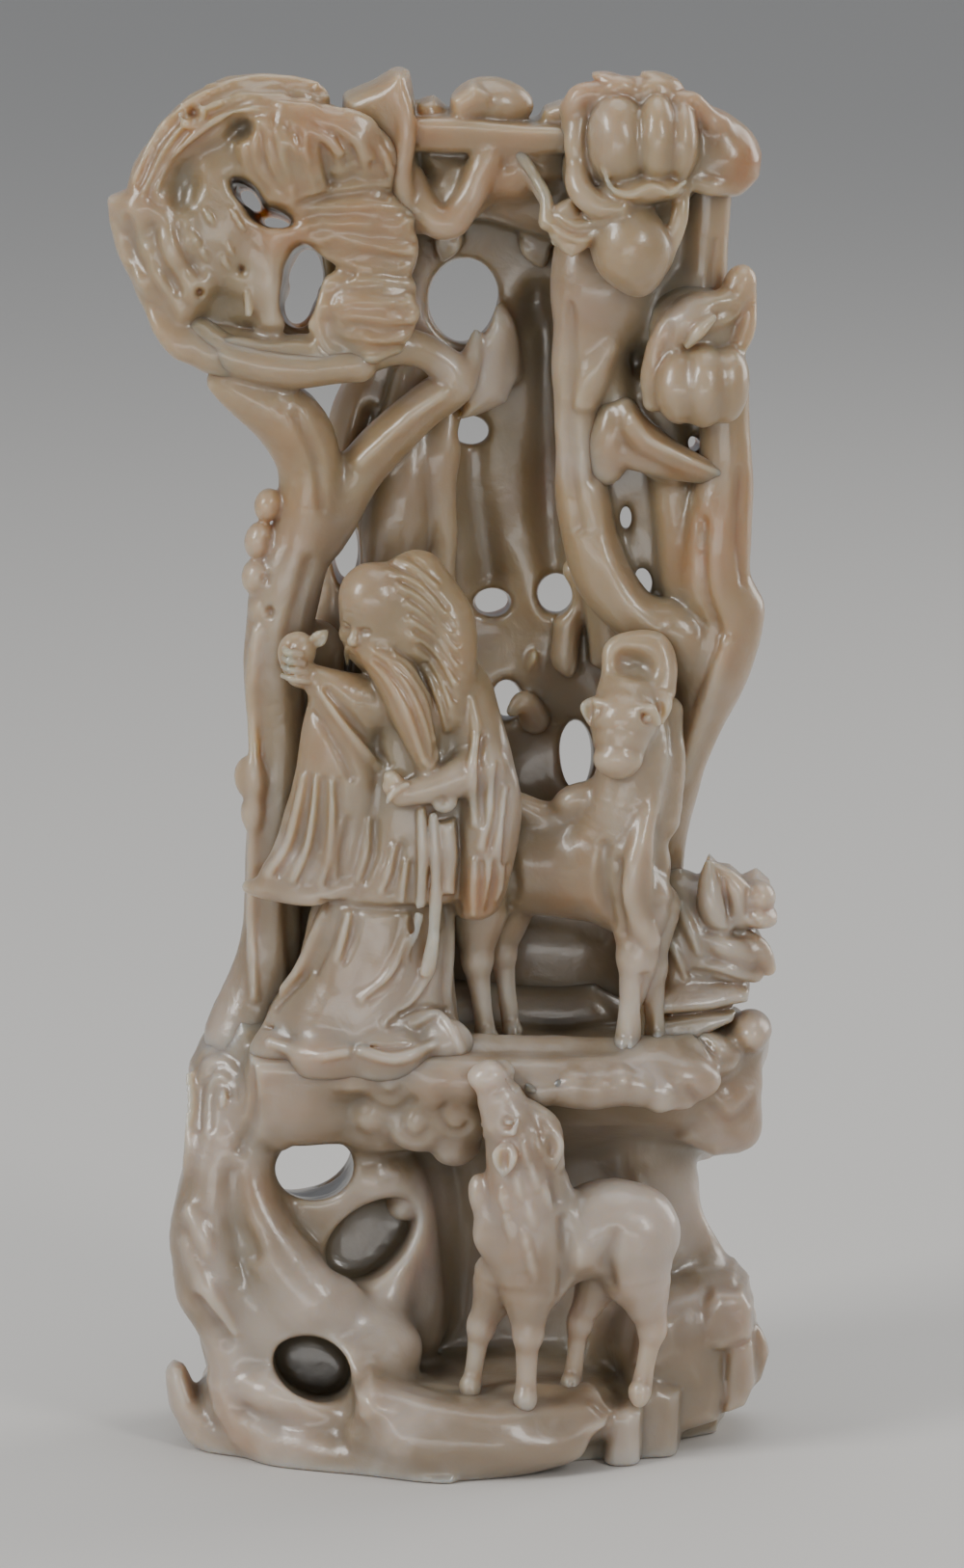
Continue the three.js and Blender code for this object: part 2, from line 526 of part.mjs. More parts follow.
// The deer in front of the cave, looking up
function caveDeer() {
  return [
    limb([
      [13, -16, 28.6, 6.4], [18, -15.6, 30, 6], [22.6, -15.2, 31, 6.6], [25, -15, 30.6, 5.8],
    ], { sides: 9 }),
    limb([
      [12.6, -16.4, 29, 5.8], [11, -17.6, 35, 5.6], [10.8, -18, 41, 5], [9.8, -18.4, 46, 3.8],
    ], { sides: 9 }),
    deerHead([10.4, -18.4, 44], [6.6, -19.8, 51.4], [
      [[8.6, -22, 43], [7.6, -22.4, 38]],
      [[13.4, -20.6, 44.4], [15, -21, 39.6]],
    ]),
    deerLeg([[12, -18.6, 25], [10.6, -18.6, 18], [10.8, -18.6, 9]], 4),
    deerLeg([[8, -15.6, 26], [4.4, -14.6, 19], [3, -14.6, 9.6]], 3.8),
    deerLeg([[25, -15.6, 27], [26.4, -15, 18.6], [25.2, -15.4, 9]], 4.2),
    deerLeg([[20, -12.6, 26], [17.4, -11.4, 18], [16.6, -11.6, 9]], 3.4),
    blob([29.4, -14.6, 30], [1.8, 1.6, 2.4], { sides: 6 }),
    blob([5.2, -16.4, 32.4], [2.4, 2, 2.4], { sides: 6 }),
  ];
}

// The holes that pierce the lower rocks and the cliff
function rockHoles() {
  return join([
    limb([[-16.6, -24, 39.4, 6.2], [-16.6, 24, 35, 8]], { sides: 12, rings: 2, flat: 0.68 }),
    limb([[-9.6, -24, 28.2, 5], [-9.8, -4, 28.2, 4.8], [-11, 7, 26, 3.6]], { sides: 9, rings: 3 }),
    limb([[-17, -24, 11.4, 4.2], [-17, -6, 10, 4], [-15, 6, 10, 3.4]], { sides: 9, rings: 3 }),
  ]);
}

function cliffHoles() {
  const pierce = (x, z, wide, tall) =>
    blob([x, 9, z], [wide, 14, tall], { sides: 8, rows: 6 });
  return join([
    pierce(14.4, 110, 2.9, 2.9),
    pierce(6.5, 107, 2.3, 2),
    pierce(8.6, 96.5, 2.6, 3.2),
    pierce(17, 89, 2.8, 4.4),
    pierce(2.6, 149, 4.4, 5),
    pierce(-13, 117, 2, 4.4),
    pierce(3.6, 131.6, 1.8, 1.2),
    pierce(31.4, 122.8, 1.3, 2),
    pierce(23.8, 121.6, 1.1, 2),
    pierce(25.8, 113, 1.8, 2.8),
    pierce(31.8, 131, 1.3, 1.2),
  ]);
}

// The hollows in the pine's crown
function crownHoles() {
  return join([
    blob([-23.2, 0, 163.2], [3.6, 20, 3.2], { tilt: [0, 35, 0], sides: 8, rows: 6 }),
    blob([-18, 0, 152], [3.2, 20, 4.4], { sides: 8, rows: 6 }),
    blob([-13, 0, 140], [3.4, 20, 1.9], { tilt: [0, -10, 0], sides: 7, rows: 6 }),
  ]);
}

// Joining: stone first, then holes, then what is carved in front of it
const rocks = join([foot(), lowerRocks(), cliff(), ledge()])
  .subtract(rockHoles())
  .subtract(cliffHoles());
const crown = join(pineCrown()).subtract(crownHoles());
const carving = join([
  rocks, crown, pineTrunk(), crest(), peachTree(), fungus(), elder(), ledgeDeer(), caveDeer(),
]);

// The underside is ground flat, and the top trimmed to the height
const block = (z) => {
  const geometry = new THREE.BoxGeometry(2 * height, 2 * height, height);
  geometry.translate(0, 0, z);
  return solid(geometry);
};
const standing = carving.subtract(block(-height / 2)).subtract(block(1.5 * height));

// The origin is below the middle of the outer box
const { vertProperties, triVerts } = standing.getMesh();
const joined = new THREE.BufferGeometry();
joined.setAttribute('position', new THREE.BufferAttribute(vertProperties, 3));
joined.setIndex(eased(vertProperties, triVerts, facetSlack * grain));
const geometry = mergeVertices(joined.toNonIndexed());
geometry.computeBoundingBox();
const middle = geometry.boundingBox.getCenter(new THREE.Vector3());
geometry.translate(-middle.x, -middle.y, 0);
geometry.computeVertexNormals();

const jadeCarving = new THREE.Mesh(geometry, jade);
jadeCarving.name = 'jade_carving';

const group = new THREE.Group();
group.add(jadeCarving);

export default group;
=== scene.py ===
import math
import time

import bpy
import numpy as np
import openvdb
from mathutils import Euler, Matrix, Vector


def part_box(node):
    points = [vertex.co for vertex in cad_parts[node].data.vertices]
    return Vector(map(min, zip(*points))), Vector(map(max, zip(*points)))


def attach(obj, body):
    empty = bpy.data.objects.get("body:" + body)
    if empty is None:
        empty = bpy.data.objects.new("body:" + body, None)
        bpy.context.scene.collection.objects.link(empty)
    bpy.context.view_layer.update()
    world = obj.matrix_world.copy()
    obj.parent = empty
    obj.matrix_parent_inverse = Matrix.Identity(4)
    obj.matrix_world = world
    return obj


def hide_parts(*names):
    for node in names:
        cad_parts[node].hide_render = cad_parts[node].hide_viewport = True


started = time.time()
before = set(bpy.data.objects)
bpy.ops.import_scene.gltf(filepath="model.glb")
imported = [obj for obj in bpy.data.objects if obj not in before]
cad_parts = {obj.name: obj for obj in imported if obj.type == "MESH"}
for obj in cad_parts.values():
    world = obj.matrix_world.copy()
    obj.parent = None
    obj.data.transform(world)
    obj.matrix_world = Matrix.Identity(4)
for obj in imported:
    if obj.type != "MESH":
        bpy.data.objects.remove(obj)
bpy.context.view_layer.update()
nodeLow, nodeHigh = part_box("jade_carving")

stone = {
    "height": 180.0,    # mm, the height that the strokes are drawn for
    "setBack": 0.75,    # mm, from the strokes back to the frame's middle
    "clearance": 0.06,  # mm kept inside the solid's box
    "far": 4.0,         # mm, distances are not followed further than this
    "undulation": 0.1,  # mm, the hand-polished unevenness of every face
    "crown": 0.09,      # share of a slab's depth that its outline draws in towards its faces
}
grain = (nodeHigh.z - nodeLow.z) / stone["height"]  # metres for each millimetre drawn
toFrame = np.array([0, stone["setBack"], 0])
boxLow = np.array(nodeLow) / grain - toFrame + stone["clearance"]
boxHigh = np.array(nodeHigh) / grain - toFrame - stone["clearance"]


# Working the stone: distances on a grid, negative inside, and a blend that rounds each joint

def softMin(a, b, blend):
    if blend <= 0:
        return np.minimum(a, b)
    lap = np.maximum(blend - np.abs(a - b), 0) / blend
    return np.minimum(a, b) - lap * lap * blend / 4


def softMax(a, b, blend):
    return -softMin(-a, -b, blend)


def smoothPath(stations, fine):
    # a curve through the stations, with fine steps between each two, or straight through only two
    points = np.array(stations, float)
    if len(points) == 2:
        return points
    ends = np.vstack([2 * points[0] - points[1], points, 2 * points[-1] - points[-2]])
    made = [points[0]]
    for i in range(len(points) - 1):
        a, b, c, d = ends[i:i + 4]
        for t in np.arange(1, fine + 1) / fine:
            bend = (2 * a - 5 * b + 4 * c - d) * t * t + (3 * b - 3 * c + d - a) * t ** 3
            made.append((2 * b + (c - a) * t + bend) / 2)
    return np.array(made)


class Block:
    def __init__(self, low, high, step):
        self.step = step
        self.axes = [np.arange(a, b + step, step, dtype=np.float32) for a, b in zip(low, high)]
        self.gap = np.full([len(axis) for axis in self.axes], stone["far"], np.float32)

    def window(self, low, high, margin):
        # the part of the grid that a form between low and high can reach
        cuts = tuple(
            slice(*np.searchsorted(axis, (a - margin, b + margin)))
            for axis, a, b in zip(self.axes, low, high)
        )
        x, y, z = (axis[cut] for axis, cut in zip(self.axes, cuts))
        return cuts, x[:, None, None], y[None, :, None], z[None, None, :]

    def add(self, form, blend=0.6):
        low, high, gapAt = form
        cuts, x, y, z = self.window(low, high, blend + 1.0)
        if x.size and y.size and z.size:
            self.gap[cuts] = softMin(self.gap[cuts], gapAt(x, y, z), blend)

    def cut(self, form, blend=0.6):
        low, high, gapAt = form
        cuts, x, y, z = self.window(low, high, blend + 1.0)
        if x.size and y.size and z.size:
            self.gap[cuts] = softMax(self.gap[cuts], -gapAt(x, y, z), blend)

    def addAll(self, forms, blend=0.6):
        for form in forms:
            self.add(form, blend)

    def cutAll(self, forms, blend=0.6):
        for form in forms:
            self.cut(form, blend)

    def bar(self, stations, blend, flat=1.0):
        self.add(stroke(stations, flat), blend)

    def ball(self, centre, radii, blend, lean=0, nod=0):
        self.add(lump(centre, radii, lean, nod), blend)

    def slab(self, outline, front, back, rounding, blend, flatWays=False, slope=(0, 0)):
        self.add(plate(outline, front, back, rounding, flatWays, slope), blend)

    def faceAt(self, x, z, behind):
        # y of the first face seen from the front (or from behind) at x, z
        i = int(np.clip(round((x - self.axes[0][0]) / self.step), 0, len(self.axes[0]) - 1))
        k = int(np.clip(round((z - self.axes[2][0]) / self.step), 0, len(self.axes[2]) - 1))
        column = self.gap[i, ::-1, k] if behind else self.gap[i, :, k]
        depths = self.axes[1][::-1] if behind else self.axes[1]
        inside = np.flatnonzero(column < 0)
        if not len(inside) or inside[0] == 0:
            return None
        first = inside[0]
        share = column[first - 1] / (column[first - 1] - column[first])
        return depths[first - 1] + share * (depths[first] - depths[first - 1])

    def traced(self, path, lift, behind=False):
        # a path of x, z and radius laid on the front face, lifted out of it by a share of its radius
        stations = []
        for x, z, radius in smoothPath(path, 6):
            y = self.faceAt(x, z, behind)
            if y is None:
                continue
            if stations and abs(y - stations[-1][1]) > 1.2:
                y = stations[-1][1] + math.copysign(0.4, y - stations[-1][1])
            stations.append([x, y - lift * radius * (-1 if behind else 1), z, radius])
        if len(stations) < 2:
            return None
        smooth = np.array(stations)
        smooth[1:-1, 1] = (smooth[:-2, 1] + smooth[1:-1, 1] + smooth[2:, 1]) / 3
        return strokeAlong(smooth)

    def allTraced(self, paths, lift, behind):
        return [made for made in [self.traced(path, lift, behind) for path in paths] if made]

    def ridges(self, paths, lift=-0.35, blend=0.8, behind=False):
        self.addAll(self.allTraced(paths, lift, behind), blend)

    def grooves(self, paths, lift=0.45, blend=0.4, behind=False):
        self.cutAll(self.allTraced(paths, lift, behind), blend)

    def undulate(self, share, size, seed, behind=None):
        # soft random unevenness, alike in every direction, everywhere or only behind a depth;
        # share is how many times the stone's own unevenness it is
        random = np.random.default_rng(seed)
        weights = []
        for axis in self.axes:
            places = (axis - axis[0]) / size
            knots = int(places[-1]) + 4
            t = np.abs(places[:, None] - (np.arange(knots)[None, :] - 1))
            weights.append(np.where(t < 1, 2 / 3 - t * t + t ** 3 / 2, np.clip(2 - t, 0, 1) ** 3 / 6))
        values = random.uniform(-1, 1, [w.shape[1] for w in weights])
        field = np.einsum("ck,ijk->ijc", weights[2], values, optimize=True)
        field = np.einsum("bj,ijc->ibc", weights[1], field, optimize=True)
        field = np.einsum("ai,ibc->abc", weights[0], field, optimize=True)
        if behind is not None:
            field = field * np.clip((self.axes[1] - behind) / 6, 0, 1)[None, :, None]
        # 2.5 makes up for what the blending between the knots takes off
        self.gap += (stone["undulation"] * share * 2.5 * field).astype(np.float32)

    def keepInside(self, low, high):
        # cuts off all that lies outside the box
        for axis, (a, b) in enumerate(zip(low, high)):
            shape = [1, 1, 1]
            shape[axis] = -1
            place = self.axes[axis].reshape(shape)
            self.gap = np.maximum(self.gap, np.maximum(a - place, place - b))


# Forms: each is its lowest corner, its highest corner and its gap at x, y, z

def strokeAlong(path, flat=1.0):
    # a round bar through places with a radius each; flat presses it from front to back
    radii = path[:, 3]
    low = (path[:, :3] - radii[:, None]).min(0)
    high = (path[:, :3] + radii[:, None]).max(0)

    def gapAt(x, y, z):
        near = np.full((x.size, y.size, z.size), stone["far"], np.float32)
        for a, b in zip(path[:-1], path[1:]):
            run = b[:3] - a[:3]
            length = float(run @ run) + 1e-9
            reach = max(a[3], b[3]) + 2.2
            cuts = [
                slice(*np.searchsorted(axis.ravel(), (min(p, q) - reach, max(p, q) + reach)))
                for axis, p, q in zip((x, y, z), a, b)
            ]
            dx = x[cuts[0]] - np.float32(a[0])
            dy = y[:, cuts[1]] - np.float32(a[1])
            dz = z[:, :, cuts[2]] - np.float32(a[2])
            along = np.clip((dx * run[0] + dy * run[1] + dz * run[2]) / length, 0, 1).astype(np.float32)
            dx = dx - along * np.float32(run[0])
            dy = (dy - along * np.float32(run[1])) / np.float32(flat)
            dz = dz - along * np.float32(run[2])
            gap = np.sqrt(dx * dx + dy * dy + dz * dz) - (a[3] + along * np.float32(b[3] - a[3]))
            part = near[tuple(cuts)]
            np.minimum(part, gap, out=part)
        return near

    return low, high, gapAt


def stroke(stations, flat=1.0, fine=5):
    return strokeAlong(smoothPath(stations, fine), flat)


def lineAlong(at, *stations):
    # a bar through places that at() turns into the block's own, with a radius each
    return strokeAlong(np.array([[*at(*place), radius] for *place, radius in stations]))


def tipped(lean, nod=0):
    # degrees: lean tips the top to the right, nod tips it back
    return np.array(Euler((math.radians(nod), math.radians(lean), 0)).to_matrix(), np.float32)


def lump(centre, radii, lean=0, nod=0):
    turn = tipped(lean, nod)
    size = np.array(radii, np.float32)
    reach = np.sqrt(((turn * size[None, :]) ** 2).sum(1))

    def gapAt(x, y, z):
        dx, dy, dz = x - centre[0], y - centre[1], z - centre[2]
        local = [turn[0, i] * dx + turn[1, i] * dy + turn[2, i] * dz for i in range(3)]
        near = np.sqrt(sum((p / r) ** 2 for p, r in zip(local, size)))
        steep = np.sqrt(sum((p / (r * r)) ** 2 for p, r in zip(local, size)))
        return (near * (near - 1) / np.maximum(steep, 1e-4)).astype(np.float32)

    return np.array(centre) - reach, np.array(centre) + reach, gapAt


def outlineGap(corners, p, q):
    # distance to a closed outline, negative inside it
    nearest = np.full(np.broadcast_shapes(p.shape, q.shape), 1e9, np.float32)
    inside = np.zeros(nearest.shape, bool)
    for (a, b), (c, d) in zip(corners, np.roll(corners, -1, axis=0)):
        run = np.array([c - a, d - b])
        along = np.clip(((p - a) * run[0] + (q - b) * run[1]) / (run @ run), 0, 1)
        nearest = np.minimum(nearest, (p - a - along * run[0]) ** 2 + (q - b - along * run[1]) ** 2)
        crosses = (b > q) != (d > q)
        with np.errstate(divide="ignore", invalid="ignore"):
            inside ^= crosses & (p < (c - a) * (q - b) / (d - b) + a)
    return np.where(inside, -1, 1) * np.sqrt(nearest)


def plate(outline, front, back, rounding=1.5, flatWays=False, slope=(0, 0)):
    # a slab with an outline of x and z, or flatWays of x and y, between two depths;
    # slope leans its faces: so much deeper for each millimetre along x and along the other
    corners = np.array(outline, float)
    low, high = corners.min(0), corners.max(0)
    middle = (low + high) / 2
    lean = abs(slope[0]) * (high - low)[0] / 2 + abs(slope[1]) * (high - low)[1] / 2
    crown = min(stone["crown"] * (back - front), 0.12 * float((high - low).min()))
    if flatWays:
        low, high = np.array([*low, front - lean]), np.array([*high, back + lean])
    else:
        low, high = np.array([low[0], front - lean, low[1]]), np.array([high[0], back + lean, high[1]])

    def gapAt(x, y, z):
        across, through = (y, z) if flatWays else (z, y)
        through = through - slope[0] * (x - middle[0]) - slope[1] * (across - middle[1])
        off = np.minimum(np.abs(through - (front + back) / 2) * 2 / (back - front), 1)
        side = outlineGap(corners, x, across) + rounding + crown * off * off
        end = np.abs(through - (front + back) / 2) - (back - front) / 2
        end = end / math.sqrt(1 + slope[0] ** 2 + slope[1] ** 2) + rounding
        outer = np.sqrt(np.maximum(side, 0) ** 2 + np.maximum(end, 0) ** 2)
        return (outer + np.minimum(np.maximum(side, end), 0) - rounding).astype(np.float32)

    return low, high, gapAt


def beyond(outline):
    # all that lies outside an outline of x and z
    corners = np.array(outline, float)
    low, high = corners.min(0) - 8, corners.max(0) + 8

    def gapAt(x, y, z):
        return (-outlineGap(corners, x, z) + 0 * y).astype(np.float32)

    return np.array([low[0], -40, low[1]]), np.array([high[0], 40, high[1]]), gapAt


def draped(levels, folds=0, depth=0.0, slant=0.0):
    # a mass through levels of x, y, z, half width and half depth, with upright folds
    rows = smoothPath(levels, 4)
    rows = rows[np.argsort(rows[:, 2])]
    low = np.array([(rows[:, 0] - rows[:, 3]).min(), (rows[:, 1] - rows[:, 4]).min(), rows[0, 2]])
    high = np.array([(rows[:, 0] + rows[:, 3]).max(), (rows[:, 1] + rows[:, 4]).max(), rows[-1, 2]])

    def gapAt(x, y, z):
        cx, cy, wide, deep = (
            np.interp(z.ravel(), rows[:, 2], rows[:, i])[None, None, :].astype(np.float32)
            for i in (0, 1, 3, 4)
        )
        dx, dy = (x - cx) / wide, (y - cy) / deep
        out = np.sqrt(dx * dx + dy * dy)
        if folds:
            turn = np.arctan2(dy, dx)
            out = out - depth * np.cos(folds * turn + slant * (z - rows[0, 2]))
        side = (out - 1) * np.minimum(wide, deep)
        end = np.maximum(rows[0, 2] - z, z - rows[-1, 2])
        return softMax(side, end, 1.5).astype(np.float32)

    return low, high, gapAt


def unit(v):
    v = np.array(v, float)
    return v / np.linalg.norm(v)


def leaf(stalk, tip, width, facing=(0, -1, 0), thick=1.6, bow=1.0, veins=0.25):
    # a leaf creased along its midrib, with side veins
    start = np.array(stalk, float)
    run = np.array(tip, float) - start
    length = np.linalg.norm(run)
    ahead = run / length
    side = unit(np.cross(ahead, facing))
    out = np.cross(side, ahead)
    corners = np.array([start, start + run])

    def gapAt(x, y, z):
        dx, dy, dz = x - start[0], y - start[1], z - start[2]
        a, b, c = (dx * v[0] + dy * v[1] + dz * v[2] for v in (ahead, side, out))
        share = np.clip(a / length, 0, 1)
        arch = np.sin(np.pi * share)
        half = 0.5 * width * np.sin(np.pi * share ** 0.85) + 0.05
        across = np.abs(b) / half
        middle = bow * arch + 0.35 * across * arch
        vein = veins * np.cos((a - 0.7 * np.abs(b)) * 2 * np.pi / 1.9) * np.clip(across, 0, 1) * arch
        middle = middle - veins * 1.4 * np.exp(-(b / 0.45) ** 2) * arch + 0.4 * vein
        shell = np.abs(c - middle) - 0.5 * thick * (0.4 + 0.6 * arch)
        edge = np.maximum((across - 1) * half, np.maximum(-a, a - length))
        return softMax(shell, edge, 0.7).astype(np.float32)

    reach = 0.5 * width + thick + abs(bow)
    return corners.min(0) - reach, corners.max(0) + reach, gapAt


def peach(centre, radii, lean, ribs, rib, tip, start):
    # a round fruit with shallow ribs, drawn out to a tip below
    turn = tipped(lean)
    reach = max(radii) * (1.1 + tip)

    def gapAt(x, y, z):
        dx, dy, dz = x - centre[0], y - centre[1], z - centre[2]
        a, b, c = (
            (turn[0, i] * dx + turn[1, i] * dy + turn[2, i] * dz) / radii[i] for i in range(3)
        )
        out = np.sqrt(a * a + b * b + c * c) + 1e-6
        down = np.clip(-c / out, 0, 1)
        flat = np.sqrt(np.clip(1 - (c / out) ** 2, 0, 1))
        lobes = np.abs(np.cos(ribs * np.arctan2(b, a) / 2 + start))
        size = 1 + tip * down ** 8 - rib * flat * (1 - lobes) ** 2 * 2.2
        return ((out - size) * min(radii)).astype(np.float32)

    return np.array(centre) - reach, np.array(centre) + reach, gapAt


def ovalHole(centre, radii, turned, way, length=60.0, flare=0.0, flatTop=1.0):
    # a drilled oval hole, from in front of its centre back along its way, wider as it goes
    ahead = unit(way)
    angle = math.radians(turned)
    wide = np.array([math.cos(angle), 0, math.sin(angle)])
    wide = unit(wide - (wide @ ahead) * ahead)
    tall = np.cross(wide, ahead)
    centre = np.array(centre, float)
    reach = max(radii) * (1 + flare * length)
    first = centre - 14 * ahead
    last = centre + length * ahead

    def gapAt(x, y, z):
        dx, dy, dz = x - centre[0], y - centre[1], z - centre[2]
        a, b, c = (dx * v[0] + dy * v[1] + dz * v[2] for v in (wide, tall, ahead))
        spread = 1 + np.clip(c, 0, None) * flare
        out = np.sqrt((a / radii[0]) ** 2 + (b / radii[1]) ** 2)
        side = np.maximum((out - spread) * min(radii), b - flatTop * spread * radii[1])
        return softMax(side, np.maximum(-14 - c, c - length), 2.0).astype(np.float32)

    return np.minimum(first, last) - reach, np.maximum(first, last) + reach, gapAt


# The lower stone: foot, left and right rocks, cave and ledge

foot = {
    "height": 8.6,    # mm, the platform under the lower deer
    "rounding": 1.6,  # mm
    "step": 0.4,      # mm, the fineness of this block
}


def makeLowerRocks():
    block = Block((-45, -28, -2), (45, 27, 64), foot["step"])
    makeFoot(block)
    makeSideRocks(block)
    makeCliffFoot(block)
    makeLedge(block)
    block.cut(ovalHole((-16.5, -8, 37.8), (5, 4.2), 0, (-0.08, 1, -0.12), 60, 0.015, 0.76), 1.1)
    block.ball((-13.6, -5.4, 43.2), (3.4, 4, 1.7), 1, 12)
    block.cut(ovalHole((-9.3, -7, 28.2), (6.5, 4.3), 40, (-0.12, 1, -0.16), 8.5), 1.1)
    block.cut(ovalHole((-17, -9, 11.6), (5.2, 3.9), -24, (-0.03, 1, -0.19), 9), 0.9)
    block.ball((-5.2, -2.4, 32), (2.4, 3.4, 2.2), 0.8, -40)
    crackSides(block)
    workLowerRocks(block)
    block.undulate(3.4, 5, 11)
    block.undulate(0.5, 1.8, 12)
    block.undulate(9, 9, 13, behind=2)
    return block


def makeFoot(block):
    plan = [
        (-31, -8), (-25, -12), (-18, -16), (-9, -19), (2, -20), (8, -18), (15, -14.4), (22, -12), (27, -6),
        (36, 1), (38, 10), (34, 18), (24, 23), (8, 24.4), (-12, 23.6), (-25, 17), (-32, 6), (-33, -2),
    ]
    block.slab(plan, -3, foot["height"], foot["rounding"], 0, flatWays=True)
    block.slab([(-10, -15), (20, -15), (26, 8), (8, 11), (-10, 11)], 4, 10.4, 1.6, 2.6, flatWays=True)
    # petals that cup the left side, one inside the other
    block.slab([
        (-36.4, 9.6), (-35.6, 10.9), (-34, 10.4), (-32.4, 6.8), (-29.4, 4.4), (-24, 3), (-16, 2), (-16, -2),
        (-29.6, -2), (-33.6, 1), (-35.8, 5),
    ], -11.4, -4, 1.6, 1.2, slope=(-0.5, 0.1))
    block.slab([
        (-30.6, 10), (-29, 11.6), (-27.6, 10), (-25.6, 7.4), (-21, 5.6), (-14, 4.6), (-6, 4), (2, 1), (2, -2),
        (-22, -2), (-28, 2), (-30.4, 6),
    ], -19, -9, 1.9, 1.6, slope=(-0.42, 0.14))
    block.ball((-19, -11, 8.4), (8, 5, 3.6), 1.8, 12)
    # the boat-like lip in front
    block.slab([
        (-11, 8.6), (-11.2, 11.4), (-9.4, 12.6), (-2, 10.4), (5, 8.2), (12, 7.6), (18.4, 7.8), (21.4, 7.2),
        (21.6, 5.8), (17.4, 2.8), (12, 1), (4, -1), (0, 0), (-7, 3.6),
    ], -22.6, -11, 2, 1.2, slope=(0.17, 0.2))
    block.ball((3, -18.8, 4.4), (15.4, 6, 5), 2.4, 4)
    block.slab([
        (-9, -17), (0, -21.4), (8, -20.6), (15, -18.4), (21, -15.4), (22, -11), (-9, -11),
    ], 3, 8.9, 1.8, 2.4, flatWays=True)
    block.bar([
        (-8.6, -20.6, 10.6, 0.8), (-2, -22, 8.8, 1.1), (5, -21.8, 7.4, 1.2), (12, -19.8, 7.2, 1.2),
        (18, -17, 7.2, 1),
    ], 2)
    # blocks at the right of the foot
    block.slab([(20.4, -2), (25.8, -2), (26, 7.2), (24.2, 8.2), (20.8, 7.6)], -16.2, -2, 1.5, 1.2)
    block.slab([
        (24.4, -2), (31, -2), (31.4, 8.8), (28, 10.2), (24.6, 9.8),
    ], -11.4, 4, 1.4, 0.8, slope=(0.2, 0.1))
    block.slab([
        (29, 1), (36.4, 2.8), (38, 7), (37.4, 13.6), (32, 15), (28, 12),
    ], -7.6, 10, 1.8, 0.8, slope=(0.3, 0.1))
    block.slab([
        (36, 3.6), (39.8, 4.8), (41.2, 8), (40.8, 14.4), (36.6, 15),
    ], -6, 14, 1.3, 0.6, slope=(0.3, 0))
    block.slab([(38, 5), (41.8, 7.2), (43.2, 11.2), (42.4, 15), (40, 17), (38, 14)], -1, 15, 1.5, 0.8)


def makeSideRocks(block):
    left = [
        (-27, 59), (-30, 55), (-33, 50), (-33.4, 44), (-33, 40), (-34.6, 35), (-35.8, 30), (-35.4, 27),
        (-36, 22), (-34.6, 19.6), (-32, 17.6), (-30.4, 15), (-29.4, 8), (-8, 4), (-5, 14), (-4, 26),
        (-4.6, 42), (-6, 52), (-18, 57),
    ]
    right = [
        (23, 0), (39, 4), (40, 16), (35, 22.6), (32, 26), (29.4, 31), (29, 44), (26, 48), (21, 46),
        (21.6, 30), (24, 16),
    ]
    block.slab(left, -7, 9, 3.4, 2.4)
    block.slab(right, -1, 15, 3, 2.4)
    # the left sheet of stone, thick at its outer edge and hollowed towards the cave
    block.addAll([
        stroke([(-27.4, -5.6, 48, 3.4), (-29, -6.4, 38, 4.6), (-30.6, -7.4, 29, 4.8), (-30, -8.6, 22, 4.2)]),
        stroke([(-24.4, -6.4, 44, 2.4), (-25, -7.6, 37, 2.8), (-22.6, -8.6, 29, 3.6), (-17, -9.6, 21, 4.4)]),
        stroke([
            (-17, -9.6, 20, 4.6), (-11.6, -8.4, 17.4, 4.4), (-8, -6, 20, 3.6), (-6.2, -3.6, 27, 3.4),
            (-6.4, -2.4, 36, 3.4),
        ]),
        stroke([(-9, -5, 35.4, 2.8), (-5.2, -3.4, 34, 3.2), (-4.2, -1, 24, 4), (-4.4, -0.6, 14, 4.2)]),
        stroke([(-4.4, 2, 40, 3.6), (-2.4, 4, 28, 3.8), (-2.8, 4, 16, 3.8)]),
        lump((-20, -8.4, 17), (11, 5, 7), 24), lump((-13, -12, 12.4), (8, 4.4, 3.6), 14),
        lump((-8, -9, 14), (5.4, 5.2, 4.6), -8),
        stroke([(-30.4, -8.4, 22, 3.6), (-28.6, -9, 16, 3), (-27, -9, 10, 3)]),
    ], 2.6)
    # the rock behind the deer, the boulder and its steps at the right
    block.addAll([
        stroke([(31, 6, 20, 7), (27.4, 5, 32, 6.6), (26, 4, 44, 6)]),
        stroke([(9, 11, 12, 4), (12, 9.6, 24, 4.6), (11, 10, 38, 4)]),
        stroke([(20, 9, 10, 5), (21.4, 7.4, 22, 5), (20, 7, 36, 5)]),
        lump((22.6, 2, 13.4), (4.4, 6.4, 6.4), 6),
    ], 3)
    block.slab([
        (23.4, 8), (22.6, 14), (23.8, 18.6), (27, 21.4), (33, 23.2), (38.4, 22.8), (40.6, 20.6), (41, 16.6),
        (38, 13), (34, 8),
    ], -8, 12, 3.8, 1.8, slope=(0.2, 0.34))
    block.ball((28, -3.6, 15), (6.4, 5.4, 6.4), 2.4, 10)
    block.slab([
        (24, 25), (30, 22.4), (31.8, 25.6), (30.4, 29.6), (28.6, 33), (25, 36),
    ], -3, 6, 1.8, 1.4, slope=(0.3, 0.1))


